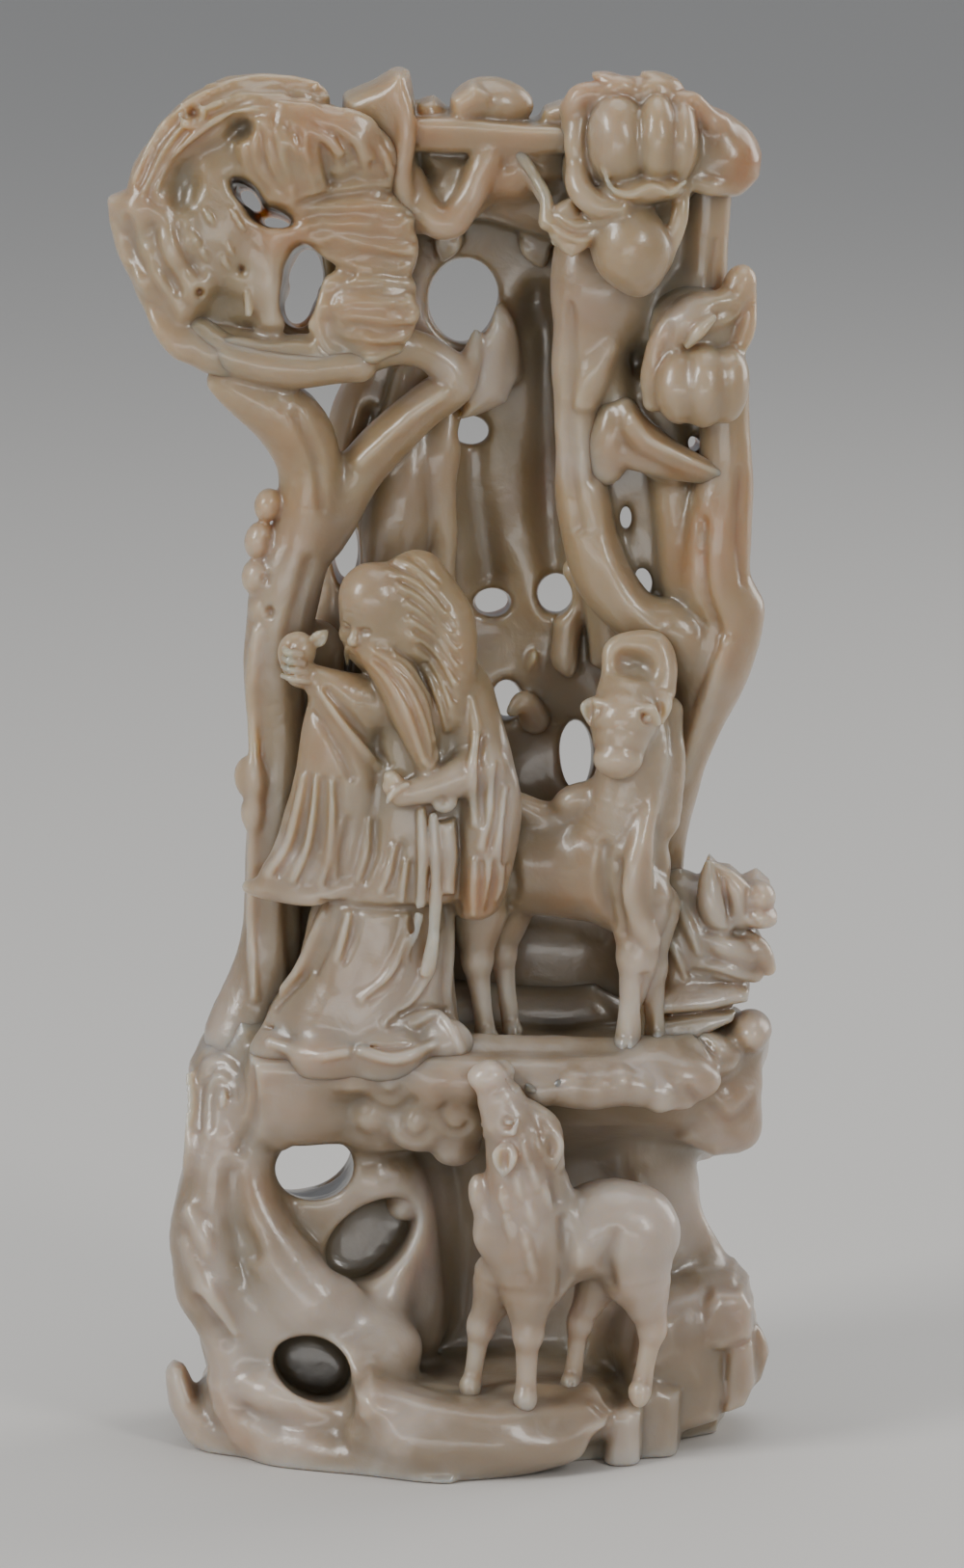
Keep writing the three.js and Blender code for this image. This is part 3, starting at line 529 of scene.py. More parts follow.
def workLowerRocks(block):
    # worn ridges of the left sheet
    block.ridges([
        [(-33.4, 29, 0.5), (-32, 25.6, 0.8), (-30.4, 22, 1), (-28.6, 18.8, 0.9), (-27.4, 17, 0.6)],
        [(-33, 33, 0.5), (-31.4, 30, 0.8), (-30.6, 27.8, 0.5)],
        [(-33.2, 38, 0.5), (-32.9, 46, 0.7), (-33, 51, 0.5)],
    ], 0, 1.6)
    block.addAll([
        lump((-28.4, -9.4, 23.6), (2, 2, 6), -34), lump((-24.8, -9.6, 31), (2, 2, 6.4), -20),
        lump((-19.6, -10.6, 23.2), (2.2, 2, 5.6), -48), lump((-13.6, -9.8, 20.6), (3, 2, 3)),
    ], 2.4)
    block.grooves([
        [(-31.6, 21.4, 0.4), (-29.6, 18, 0.7), (-28.4, 16.2, 0.5)],
        [(-27.4, 38, 0.5), (-26.8, 32, 0.9), (-24.6, 27.6, 0.6)],
    ], 0.25, 2)
    # the curled head of the left rock
    scroll = [
        (3.6, [
            (-32.9, 43.6), (-32.8, 48.8), (-31.4, 51.8), (-29, 52.9), (-26.8, 51.7), (-25.9, 48.8),
            (-26.4, 46),
        ]),
        (2.6, [(-31.6, 43.2), (-31.5, 47.8), (-30.4, 50.4), (-28.7, 51.1), (-27.3, 50), (-26.9, 48)]),
        (1.6, [(-30.3, 43.6), (-30.3, 47), (-29.6, 49), (-28.6, 49.2), (-28, 48)]),
    ]
    for size, path in scroll:
        block.grooves([[(x, z, 0.3 + 0.03 * size) for x, z in path]], 0.2, 0.7)
    block.ridges([[(-28.6, 46.4, 0.5), (-28.5, 47.6, 0.7), (-28.4, 48.4, 0.4)]], 0.2, 0.4)
    block.grooves([
        [(-24.6, 52, 0.5), (-24.7, 46, 0.7), (-26.2, 41, 0.6)],
        # lines under the ledge's right end
        [(32, 56, 0.4), (36, 53, 0.6), (41, 52, 0.4)], [(34.6, 46, 0.4), (37.4, 44, 0.6), (40.8, 46.4, 0.4)],
        [(31.6, 50, 0.4), (34, 45, 0.6), (33.6, 40, 0.4)],
    ], 0.2, 0.9)
    # the boulder's flat steps
    block.slab([
        (32.6, 13), (33.2, 19.6), (35.2, 21.6), (39.6, 21.2), (41.2, 18.6), (40.8, 14), (36.4, 12.4),
    ], -6.6, 6, 1.2, 0.6, slope=(0.34, 0.2))
    block.slab([
        (24.4, 12), (24.6, 16.8), (27.6, 19.4), (31.4, 18.6), (31.8, 12.8), (28, 11),
    ], -10, 2, 1.3, 0.8, slope=(0.2, 0.2))


def crackSides(block):
    # slanting cracks, worn hollows and two swellings where the stone turns to its sides
    block.cutAll([
        stroke([(44.6, -3, 19, 1.4), (44, 3, 15.6, 2.2), (44.2, 9, 12.6, 2), (43, 15, 7.6, 1.4)]),
        stroke([(43.6, 2, 6, 1), (44.6, 7, 9.4, 1.8), (44, 13, 16, 1.6)]),
        stroke([(44.6, -5, 53, 1.4), (44.4, 1, 48.6, 2.2), (43, 8, 44, 1.8), (42, 13, 43, 1.2)]),
        stroke([(38, 2, 33, 2.4), (36, 8, 28, 2.8), (36, 14, 27, 2)]),
        stroke([(-37.6, -2, 41, 1.6), (-37, 4, 36.6, 2.6), (-35.6, 10, 34, 2)]),
        stroke([(-37, 0, 18, 1.4), (-36.4, 5, 23, 2.4), (-35, 10, 27, 1.8)]),
        stroke([(-34.6, 2, 52, 1.4), (-33.4, 7, 48, 2.2), (-31.6, 11, 44, 1.6)]),
        lump((45, 5, 46), (2.4, 4.4, 3), 0, 20), lump((46, 4, 11), (3, 4, 2.8), 0, 30),
        lump((-35, 10, 60), (6, 8, 8), 40), lump((-37, 4, 31), (2.6, 5, 5), 0, 20),
    ], 2.2)
    block.addAll([lump((-30, 9, 22), (6, 7, 10), -12), lump((-28, 9, 44), (5, 6, 10), 8)], 2.2)


def makeCliffFoot(block):
    low = [
        (-31, 0), (-30, 20), (-31, 34), (-28, 48), (-24, 56), (-16, 60.4), (20, 60.4), (27, 55), (30, 44),
        (31, 22), (33, 0),
    ]
    block.slab(low, 4, 19, 3.4, 2.4)
    block.addAll([
        lump((-8, 16, 24), (17, 7.6, 22), 12), lump((14, 15, 34), (13, 7.6, 20), -14),
        lump((24, 14, 16), (11, 8, 15), 10), lump((-22, 13, 12), (10, 8, 12), -8),
        lump((2, 18, 54.6), (17, 5, 7.4), 6),
    ], 2)
    block.grooves([
        [(-16, 60, 1.2), (-12, 46, 2), (-15, 30, 2.4), (-10, 14, 1.6)],
        [(6, 62, 1.2), (9, 46, 2.2), (4, 30, 2.2), (8, 14, 1.4)], [(22, 54, 1), (19, 38, 1.8), (23, 22, 1.6)],
        [(-26, 40, 1), (-20, 34, 1.6), (-8, 37, 1.8), (2, 32, 1.2)],
    ], -0.1, 3, behind=True)


def makeLedge(block):
    shelf = [
        (-25, -6), (-20, -12), (-12, -15.4), (-2, -16), (6, -16.4), (12, -17), (20, -16.6), (28, -14.4),
        (34, -9), (38, -2), (36, 11), (24, 15), (-6, 16), (-22, 13), (-28, 4),
    ]
    block.slab(shelf, 48.8, 54, 1.5, 1.6, flatWays=True)
    under = [(-23, -4), (-18, -9), (-8, -12), (2, -10), (4, 2), (0, 15), (-22, 11)]
    block.slab(under, 40, 50, 3, 2, flatWays=True)
    # the lintel over the cave, its face hollowed and sloping down and back
    block.slab([(0, -13), (30, -12), (37, -5), (37, 12), (0, 14)], 39, 51, 3, 2, True, slope=(0, -0.5))
    block.cut(stroke([(11, -18, 41.4, 5.6), (20, -17.4, 42.2, 6.2), (29, -15, 43, 5.4)]), 2.6)
    block.addAll([
        # the smooth band under the robe, with its flat top edge
        lump((-19, -8, 46.6), (8.8, 5.4, 6.6)),
        plate([(-25, 47.4), (-17, 46.6), (-9, 47.4), (-8, 53), (-25, 53.4)], -13.2, -4, 1, slope=(0, -0.24)),
        # the swelling under the deer's feet and the bosses at the right
        lump((29.4, -11.6, 51), (6.6, 4.2, 3.4), 8), lump((33.6, -6, 52.6), (5, 4.4, 3), 10),
        lump((36, -2.4, 45.6), (5.4, 6.4, 6.4), -18), lump((38.2, -2, 42.6), (3.2, 4.6, 3.6), -30),
        plate([
            (30, 41), (35, 37.8), (38.4, 38.8), (42.4, 47.6), (42.8, 53.4), (38, 56.8), (31, 54),
        ], -6.4, 12, 2.6, slope=(0.35, 0.14)),
        lump((40, -3, 55), (2.8, 5, 2.8), 14),
    ], 1.6)
    # cloud lumps, the larger ones with a curl
    for x, z, size, deep in (
        (-6.4, 50.2, 4.2, -13.2), (-1.6, 49.8, 4, -13.8), (-3, 45, 4.6, -12.6), (2.2, 46, 4.2, -13.2),
        (2.6, 50.6, 3.4, -14.4), (-8.6, 46, 3.4, -11.2), (1.6, 41.8, 3.4, -11.6),
    ):
        block.ball((x, deep + 0.9, z), (size, 3.2, size * 0.9), 1.2, 20 * math.sin(3 * x))
        if size > 4:
            swirl = [(x + size * (0.74 - 0.12 * i) * math.cos(1.9 + 0.95 * i),
                      z + size * (0.74 - 0.12 * i) * math.sin(1.9 + 0.95 * i), 0.4) for i in range(5)]
            block.grooves([swirl], 0.2, 0.9)
    # the rough rock edge that the row of lumps sits in
    block.bar([
        (9, -15.8, 50.8, 1.6), (17, -16.2, 50.2, 2.2), (23, -15.8, 50.2, 2.2), (27.6, -14.8, 49.2, 1.8),
        (31, -13.2, 48.6, 1.4),
    ], 1.2)
    block.addAll([lump((x, -16.7 + 0.012 * (x - 16) ** 2, z), (1.7, 1.7, 1.9), 14) for x, z in (
        (12.4, 49.9), (16.6, 50.8), (19.6, 50.4), (22.6, 51), (25.2, 50), (27.8, 48.9),
    )], 0.9)


# The cliff with its trunks, branches and crest

cliff = {
    "face": 8,       # mm, from the strokes' middle back to the face of the cliff
    "thickness": 8,  # mm
    "step": 0.4,     # mm, the fineness of this block
}


def makeCliff():
    block = Block((-34, -12, 50), (45, 25, 182), cliff["step"])
    makeWall(block)
    pierce(block)
    makePineTrunk(block)
    makePeachTrunks(block)
    makeCrest(block)
    workBark(block)
    block.undulate(3.4, 5, 21)
    block.undulate(0.5, 1.8, 22)
    block.undulate(9, 8, 23, behind=5.5)
    return block


def makeWall(block):
    face = cliff["face"]
    rear = face + cliff["thickness"]
    outline = [
        (-16, 56), (-18.6, 84), (-19, 106), (-17, 112), (-16, 124), (-13, 138), (-8, 148), (-5, 160),
        (-1, 170.4), (18, 170.4), (20, 156), (19, 140), (21, 124), (23, 108), (26, 92), (24, 56),
    ]
    block.slab(outline, face, rear, 2.6, 0)
    # the thin sheet between the second and the right trunk
    block.slab([
        (19, 102), (17, 128), (18, 150), (32, 152), (36, 140), (35.4, 112), (33, 100), (26, 98),
    ], 2.5, 8.5, 2.4, 2)
    block.addAll([
        lump((27, 7, 114), (5, 3.2, 14), 8), lump((24, 7.4, 137), (5, 3, 12), -8),
        stroke([(32, 6, 146, 2.4), (33.4, 7, 132, 3), (32, 7, 118, 3), (31, 6, 104, 2.2)]),
    ], 2.6)
    block.addAll([
        lump((2, rear - 1, 76), (14, 5, 26), 8), lump((-6, rear - 2, 118), (9, 5, 22), -6),
        lump((10, rear - 2, 134), (8, 5, 22), 8), lump((0, rear + 1, 60), (18, 5, 10), -6),
        stroke([(15, rear - 1, 66, 3.6), (18, rear, 82, 4.4), (15, rear - 1, 100, 3)]),
        stroke([(-10, rear - 1, 64, 3), (-12, rear, 84, 4), (-9, rear - 1, 102, 3)]),
    ], 2.2)
    block.ball((14, 10, 61), (12, 4.4, 9), 3)
    # broad runs down the back
    block.grooves([
        [(-12, 150, 1.2), (-9, 128, 2.2), (-11, 106, 2.4), (-8, 84, 2), (-10, 66, 1.2)],
        [(2, 164, 1.2), (4, 140, 2), (1, 118, 2.2), (3, 96, 2.2), (0, 74, 1.4)],
        [(13, 160, 1.2), (15, 136, 1.8), (12, 122, 1.8), (15, 104, 1.6)],
    ], -0.1, 3, behind=True)
    # upright ridges in the niche
    block.addAll([
        stroke([
            (-9.4, face, 96, 3), (-7.4, face - 1.8, 112, 4.2), (-5.6, face - 2.2, 124, 4.6),
            (-4, face, 139, 3),
        ]),
        stroke([
            (-1, face, 100, 2), (0.2, face - 1.6, 114, 2.5), (-0.4, face - 2.2, 127, 2.9),
            (0.4, face - 1, 138, 2.2),
        ]),
        stroke([
            (11, face, 98, 1.6), (10.8, face - 1.6, 111, 2.1), (9.4, face - 1.8, 123, 2.4),
            (8.2, face - 0.6, 136, 2),
        ]),
        stroke([(15.4, face, 92, 1.8), (15.6, face - 1.4, 102, 1.9), (17, face - 1, 114, 1.8)]),
    ], 1.2)
    # the wedge-shaped slab under the crest and the funnel over the lower hole
    block.slab([
        (2.4, 134.4), (8.8, 135.6), (10.6, 139.4), (10, 147), (6.4, 151), (3.8, 146),
    ], 1.6, 12, 2.4, 1.2, slope=(0.5, -0.06))
    block.grooves([
        [(3.6, 134, 1.2), (4.4, 122, 2), (6, 113.4, 2.4)],
        [(13.2, 147, 1.2), (13.2, 130, 1.8), (13.8, 118, 2), (14.4, 113, 2)],
        [(-12.6, 118, 1), (-11.8, 126, 1.2), (-9.6, 134, 0.9)],
    ], -0.2, 1.6)
    block.cutAll([
        lump((12, face - 1.4, 86), (8, 5, 15), 6), lump((7, face - 1, 118), (6, 2.2, 20)),
        lump((22, rear + 3, 170), (7, 5, 12), 30), lump((-6, rear + 3, 170), (8, 5, 12), -30),
        lump((4, rear + 4.4, 174), (16, 5, 8)), lump((24, rear + 2.6, 142), (4, 3.6, 14)),
    ], 2.6)


def pierce(block):
    holes = [
        (14.5, 110.9, 2.5, 2.7), (6.5, 109.8, 2.1, 1.5), (8.2, 96.6, 2.4, 3.1), (17.4, 88.8, 2.4, 5.2),
        (2.6, 149.4, 4, 5), (-12.8, 116.4, 1.6, 4.2), (3.6, 132, 1.6, 1.2), (31.4, 122.8, 1.1, 1.8),
        (23.6, 121.3, 0.9, 1.8), (25.7, 112.8, 1.7, 2.6), (32.1, 109.1, 0.4, 1.3), (31.9, 130.9, 1.25, 1.1),
    ]
    for x, z, wide, tall in holes:
        block.cut(ovalHole((x, cliff["face"] - 2, z), (wide, tall), 0, (0, 1, -0.06), 30, 0.004), 1.2)
    # the stub of a branch in the third hole, the flaps in the top hole
    block.bar([(12, 10, 93.8, 2), (10.6, 8, 96.4, 1.5), (9, 7.4, 95.4, 0.8)], 0.6)
    block.add(leaf((1.6, 7, 159.8), (-0.4, 7.4, 153.6), 3.6, thick=3, bow=0.3, veins=0), 0.8)
    block.add(leaf((10.8, 7.4, 159.4), (13, 7.4, 152.8), 4.4, thick=3, bow=0.3, veins=0), 0.8)
    block.cut(lump((12, cliff["face"] - 2, 148.6), (2.4, 4.6, 3.6), 10), 1.4)


def makePineTrunk(block):
    block.bar([
        (-25.8, -1, 54, 5.4), (-22.6, -1, 66, 4), (-22.2, -2, 77, 3.7), (-21.2, -2, 89, 3.7),
        (-21.8, -2, 101, 3.9), (-20.4, -2, 113, 4.4), (-17.6, -2, 122, 4.1), (-17.3, -2, 129, 3.9),
        (-19.8, -3, 135, 4.5), (-25.6, -4, 138.8, 3.2), (-28, -4, 140.2, 2.2),
    ], 1.2)
    block.bar([(-17, 2, 104, 4), (-17, 5.4, 84, 4.6), (-19, 5, 68, 4.6), (-22, 3, 56, 5)], 2)
    block.bar([
        (-16, -1, 120, 3.4), (-10, 0, 129, 3), (-3, 0, 136, 2.9), (1.2, 0, 139.6, 2.8),
        (-1.4, -1, 143.2, 2.5), (-6, -2.4, 144.6, 2.6), (-11, -3, 143.4, 2.6),
    ], 1.4)
    block.bar([(1.4, 0, 139.6, 2.4), (3.4, 1, 142.6, 1.5), (4.2, 2, 145.6, 0.7)], 0.8)
    block.bar([
        (-33, -4, 147.6, 2.2), (-27, -5.6, 143.6, 2.6), (-19, -6, 142, 2.5), (-11, -5, 142.6, 2.4),
    ], 0.8)
    # knots on the bark, each with a small hollow
    for x, z, wide, tall in (
        (-22.6, 124, 1.8, 2.2), (-23.6, 119.6, 1.9, 2.5), (-23.9, 114.8, 1.9, 2.4), (-23.4, 110.6, 1.6, 1.9),
    ):
        block.ball((x, -3.4, z), (wide, 2.2, tall), 0.5, 12)
        block.cut(lump((x + 1.1, -6, z), (0.55, 1, 0.75)), 0.4)
    # a small fungus half way up
    block.ball((-24.6, -4.6, 88.8), (2.4, 1.7, 3), 0.4, -8)
    block.ball((-24.4, -4.6, 84.2), (1.7, 1.5, 2.2), 0.4)


def makePeachTrunks(block):
    block.bar([
        (34, 1, 165, 2.9), (33.7, 1, 156, 2.9), (33.4, 1, 150, 3), (35.6, 0, 142, 3.2), (36.4, 0, 130, 3.6),
        (35.6, 0, 122, 4.2), (35.2, 0.4, 114, 4.6), (37.1, 0.6, 109, 4.3), (35.4, 1, 102, 4.2),
        (32.6, 2, 94.6, 3.6), (29.4, 3, 86.6, 3.8), (27, 3, 76, 4), (27, 3, 62, 4),
    ], 1.2)
    block.ball((39.2, 0.4, 109.4), (2, 2.6, 3), 0.8, 20)
    block.bar([
        (18.6, 0, 168, 3.4), (17.6, 0.4, 158, 3.3), (17.3, 0.6, 148, 3.2), (17.2, 1, 138, 3),
        (17.6, 1, 128, 3.3), (18.6, 1, 120, 3.6), (21, 0.6, 113.4, 3.4), (25, 0, 109, 3.1),
        (30.4, 0, 106.6, 3.6), (33, 1, 102, 3.4),
    ], 1.2)
    block.bar([(27, 2, 138, 3), (29, 2.4, 130, 2.7), (30.6, 2, 122, 3), (31.6, 1.6, 114, 3.2)], 1.2, 0.9)
    # the forked leafy branch between the trunks
    block.bar([
        (22, 1, 140.4, 1.9), (23.2, 0.4, 134.4, 2.2), (26.4, -0.4, 130.4, 2.4), (29.6, 0, 128, 1.8),
    ], 1)
    block.bar([(17.6, -1.4, 138, 2.2), (19.4, -2.2, 141.2, 1.5), (21.4, -2.8, 144.2, 0.5)], 0.8)
    block.addAll([
        lump((24, 4, 158), (8, 7, 10)), lump((31, 2, 147), (6, 5, 6.4)),
        lump((20.6, 0.4, 151.4), (6, 4.6, 8.4), -6), lump((18.6, 0.4, 143.2), (4.2, 3.6, 6), 6),
    ], 2.2)


def makeCrest(block):
    # the wedge with its thick edge
    block.slab([
        (-13.4, 173), (-13, 176.8), (-9, 178.4), (-5.6, 180.6), (-4.2, 179.6), (-3.4, 174), (-3.2, 160),
        (-6.4, 157), (-8, 163), (-9.4, 170),
    ], -5.4, 8, 1.2, 0.5, slope=(-0.25, -0.1))
    block.cut(lump((-9, 9.6, 181), (9, 5.4, 5), 0, -24), 2)
    block.bar([
        (-5.6, -5.6, 178.9, 0.6), (-4.7, -6, 175.4, 0.9), (-4.7, -6, 171.4, 1.2), (-5.2, -5.6, 167, 1.2),
        (-4.4, -4.8, 162.6, 1.1), (-3.4, -4, 160.2, 1),
    ], 0.7)
    # the flat bar, with broken lumps of rock on it
    block.addAll([
        plate([
            (-4, 169.2), (16.6, 168.6), (17.4, 173.4), (4, 174.2), (-4, 174.4),
        ], -5.6, 10, 0.9, slope=(0, -0.34)),
        lump((6.6, -0.4, 175.4), (5.4, 4.2, 3.4), 4),
        plate([
            (1.2, 173), (1.2, 176.6), (3.8, 178.4), (6.4, 177.2), (7.4, 173.4),
        ], -5.4, 3, 1, slope=(0.34, -0.4)),
        plate([
            (-3.4, 172), (-3.2, 175.8), (-1.2, 176.2), (1.4, 174), (1.4, 172),
        ], -3.6, 6, 0.9, slope=(0.3, -0.3)),
    ], 0.6)
    block.slab([
        (11, 172), (12.6, 175.4), (15.4, 176.3), (17.6, 175), (17.6, 172),
    ], -4, 6, 1, 0.7, slope=(-0.2, -0.3))
    block.slab([
        (-3.4, 158.6), (2, 160), (6, 159.6), (17, 156), (18, 170), (-3, 170),
    ], -0.6, 12, 2.4, 1.6, slope=(0, -0.42))
    block.ball((9, -0.4, 167), (8, 4.4, 4), 1.8, -8)
    block.ball((1.6, -1.2, 163.6), (4.2, 3.2, 3.6), 1.8, 12)
    block.grooves([[(-3, 169.4, 0.4), (4, 168.8, 0.7), (11, 168.2, 0.6), (16, 167.6, 0.4)]], 0.2, 0.9)
    # the branch that hangs in a bow, and the one that reaches the leaf
    block.bar([
        (-3.8, -3, 166.2, 1.6), (-2, -4, 162, 2.1), (0.8, -4.4, 160.6, 2.4), (3.4, -4, 163.8, 2.1),
        (5.8, -3.4, 169, 2.2),
    ], 0.9)
    block.bar([(8, -3, 169.6, 1.4), (11, -4, 167, 1.1), (13.4, -5, 162.6, 1), (14.6, -6, 158.6, 1)], 0.8)


def workBark(block):
    # long shallow runs of the bark and chips on the crest
    block.grooves([
        [(-19.4, 60, 0.5), (-19.6, 72, 0.8), (-19.2, 86, 0.6)],
        [(-19, 100, 0.5), (-19.4, 108, 0.7), (-17, 117, 0.5)],
        [(-15.4, 124, 0.4), (-16.4, 131, 0.6), (-18.6, 136, 0.4)],
        [(33.4, 122, 0.5), (33.6, 114, 0.8), (35.6, 106, 0.6), (32.6, 98, 0.4)],
        [(38.4, 128, 0.4), (38, 120, 0.6), (38.6, 114, 0.4)],
        [(16.4, 150, 0.4), (16, 140, 0.7), (16.2, 130, 0.6), (17.6, 121, 0.4)],
        [(19.6, 128, 0.4), (20.4, 120, 0.6), (23.4, 112.6, 0.6), (27, 108.4, 0.4)],
        [(34.8, 158, 0.3), (34.6, 152, 0.5), (36, 144, 0.3)],
    ], 0.4, 1.2)
    block.ridges([
        [(-24.6, 60, 0.5), (-25, 72, 0.8), (-24.4, 86, 0.7), (-24.6, 100, 0.8), (-24, 108, 0.5)],
        [(36.6, 106, 0.5), (33.6, 97, 0.8), (30.6, 88, 0.6)],
        [(19.4, 126, 0.5), (20.6, 118, 0.8), (23.6, 111.6, 0.8), (27.6, 108, 0.5)],
        [(-10.6, 129.6, 0.4), (-4, 135.6, 0.6), (0, 138.4, 0.4)],
    ], 0.1, 1.2)


# The pine's crown: tufts of needles round hollows

needles = {
    "fine": 0.3,  # mm, the radius of a single needle
    "step": 0.3,  # mm, the fineness of this block
}


def makePineCrown():
    block = Block((-45, -16, 134), (1, 20, 182), needles["step"])
    block.ball((-22, 3, 160.5), (17.4, 6.4, 16.4), 0)
    block.ball((-26.6, -1.4, 161.6), (14, 5.8, 15.2), 2, 12)
    block.addAll([
        # the upper rim and the curl that it grows out of
        stroke([
            (-40.2, -2.6, 163, 2.8), (-38.4, -3, 168, 3), (-34.6, -3, 173, 3.2), (-29.6, -2.6, 175.6, 3.4),
            (-23, -2, 176.4, 3.2), (-16.8, -2, 176, 2.6),
        ]),
        stroke([
            (-36.4, -4.6, 166.4, 2.4), (-33.4, -5, 171.6, 2.6), (-28.6, -5, 174.2, 2.4),
            (-23.4, -4.4, 175.4, 2.2),
        ]),
        # the lower rim
        stroke([
            (-38.6, -3, 150.4, 2.6), (-35.4, -4, 146.4, 3), (-30.3, -4.6, 144.2, 3.2), (-24.1, -5, 143.4, 3),
            (-16.3, -4.6, 143.6, 2.8), (-12, -4, 143.6, 2.2),
        ]),
        # the branch that runs down between the openings
        stroke([
            (-16.6, -5, 164, 2.2), (-19.2, -5.4, 161, 2), (-21.4, -5.2, 157.6, 1.9), (-22.2, -5, 153.4, 1.9),
            (-21.8, -4.8, 148.4, 2),
        ]),
    ], 1.8)
    # the cloud-like lobes at the left
    block.addAll([
        stroke([
            (-40.6, -3.4, 163.6, 1.6), (-37.6, -4.8, 164.4, 2.2), (-34.7, -5.4, 162.4, 2.4),
            (-33, -5.2, 158.6, 2),
        ]),
        stroke([
            (-41.6, -2.4, 163.4, 1.6), (-41.6, -2.8, 160.4, 1.9), (-40.2, -3.2, 156.4, 2),
            (-38.2, -3.4, 152.4, 2),
        ]),
        stroke([
            (-38.8, -4.4, 161.6, 1.7), (-38, -4.8, 157.6, 1.9), (-36.2, -5.2, 153.4, 2.1),
            (-33.6, -5.2, 149.8, 2.2),
        ]),
        stroke([(-35.4, -5.2, 160, 1.7), (-34.4, -5.6, 156.4, 1.9), (-32.2, -5.6, 152.8, 1.9)]),
        lump((-28.4, -3.6, 158.4), (4.6, 3, 5.4), 20), lump((-24.8, -3.4, 152.2), (3.6, 2.8, 4)),
        lump((-42.2, -2.4, 163.2), (1.3, 1.6, 1.2)), lump((-38.4, -4.4, 161.6), (3.4, 2.8, 2.6), 30),
        lump((-34.6, -5.4, 157.4), (3.4, 2.6, 3.4)), lump((-36.8, -4.8, 153.4), (3.2, 2.6, 2.6), 40),
        lump((-31.4, -5, 152.8), (2.8, 2.6, 3.2)),
    ], 1.3)
    # the upper tuft: broad strands that hang from a bright ribbon of needles
    strands = [
        ([(-23, 176), (-23.9, 172.4), (-23.6, 168.4), (-21.8, 165)], 2.3, -6.4),
        ([(-20.6, 175.6), (-20.6, 171.2), (-19.9, 167.2), (-19.2, 164.6)], 2.4, -7.2),
        ([(-17.8, 175.2), (-17.5, 170.6), (-17, 167.2), (-16.6, 165.6)], 2.3, -7.6),
        ([(-15, 174.6), (-13.8, 171.2), (-13.2, 168.4)], 2.1, -7.2),
        ([(-12, 173.6), (-10.6, 170.6), (-9.8, 168)], 1.9, -6.8),
        ([(-9.2, 172.4), (-7.4, 169.6), (-6.6, 166.8)], 1.7, -6.2),
        # the middle tuft, swept to the right
        ([(-17.5, 163.6), (-11.3, 164.6), (-6.6, 164.2)], 1.9, -5.8),
        ([(-17.8, 161.6), (-10.7, 161.9), (-4.8, 161.4)], 2.1, -6.4),
        ([(-17.5, 159.6), (-10.7, 158.8), (-4.2, 158)], 2.1, -6.6),
        ([(-15.8, 157.8), (-10.3, 156.2), (-5, 155.6)], 1.9, -6.2),
        # the lower tuft, swept down to the right
        ([(-13, 153.8), (-15.8, 151.4), (-16, 148.4), (-14.8, 145.2), (-12.2, 143.2)], 1.6, -6.4),
        ([(-14, 152.4), (-9.8, 152.6), (-4.4, 151.9)], 1.8, -6.8),
        ([(-14, 149.8), (-9.4, 149.7), (-4.2, 149.3)], 2, -7.4),
        ([(-13.4, 147.4), (-9.1, 146.7), (-5.2, 147)], 1.9, -7.2),
        ([(-12.4, 145.2), (-9.1, 144.3), (-6.4, 144.8)], 1.6, -6.6),
    ]
    for path, radius, depth in strands:
        last = len(path) - 1
        ends = {0: 0.72, last: 0.95}
        block.bar([
            (x, depth + 0.9 * abs(2 * i / last - 0.8), z, radius * ends.get(i, 1))
            for i, (x, z) in enumerate(path)
        ], 1.3)
    block.addAll([
        lump((-17.4, -4, 170.4), (7.4, 3.6, 5.4), 12), lump((-10.6, -3.6, 160.4), (7.2, 3.4, 5)),
        lump((-9.6, -4, 149.2), (6.4, 3.8, 5.2)),
    ], 1.2)
    # the crown is kept to the round of the pebble
    block.cut(beyond([
        (-12, 178), (-16.3, 179), (-21.3, 179.9), (-28.1, 179.2), (-32.5, 177), (-36.4, 173), (-39.7, 167.6),
        (-40.4, 164.8), (-43.1, 163.8), (-43.2, 160.8), (-41.8, 156.4), (-39.6, 152), (-38.2, 149.4),
        (-37.2, 146.6), (-34.2, 143.2), (-31, 141.2), (-24, 139.8), (-14, 141.6), (-9.6, 141.6), (-5.2, 144),
        (-3.6, 147.2), (-2.8, 149.4), (-3.4, 151.4), (-3.4, 154.2), (-2.9, 156.6), (-3.6, 161.6),
        (-6.4, 164.6), (-5.6, 170), (-6, 175.6),
    ]), 1.4)
    fine = needles["fine"]
    parted = []
    for path, radius, depth in strands:
        for shift in (-0.35, 0.4, 1):
            parted.append([(x + shift * radius, z + 0.3 * shift * radius, fine * (0.4 if i == 0 else 0.8))
                           for i, (x, z) in enumerate(path)])
    block.grooves(parted, 0.25, 0.8)
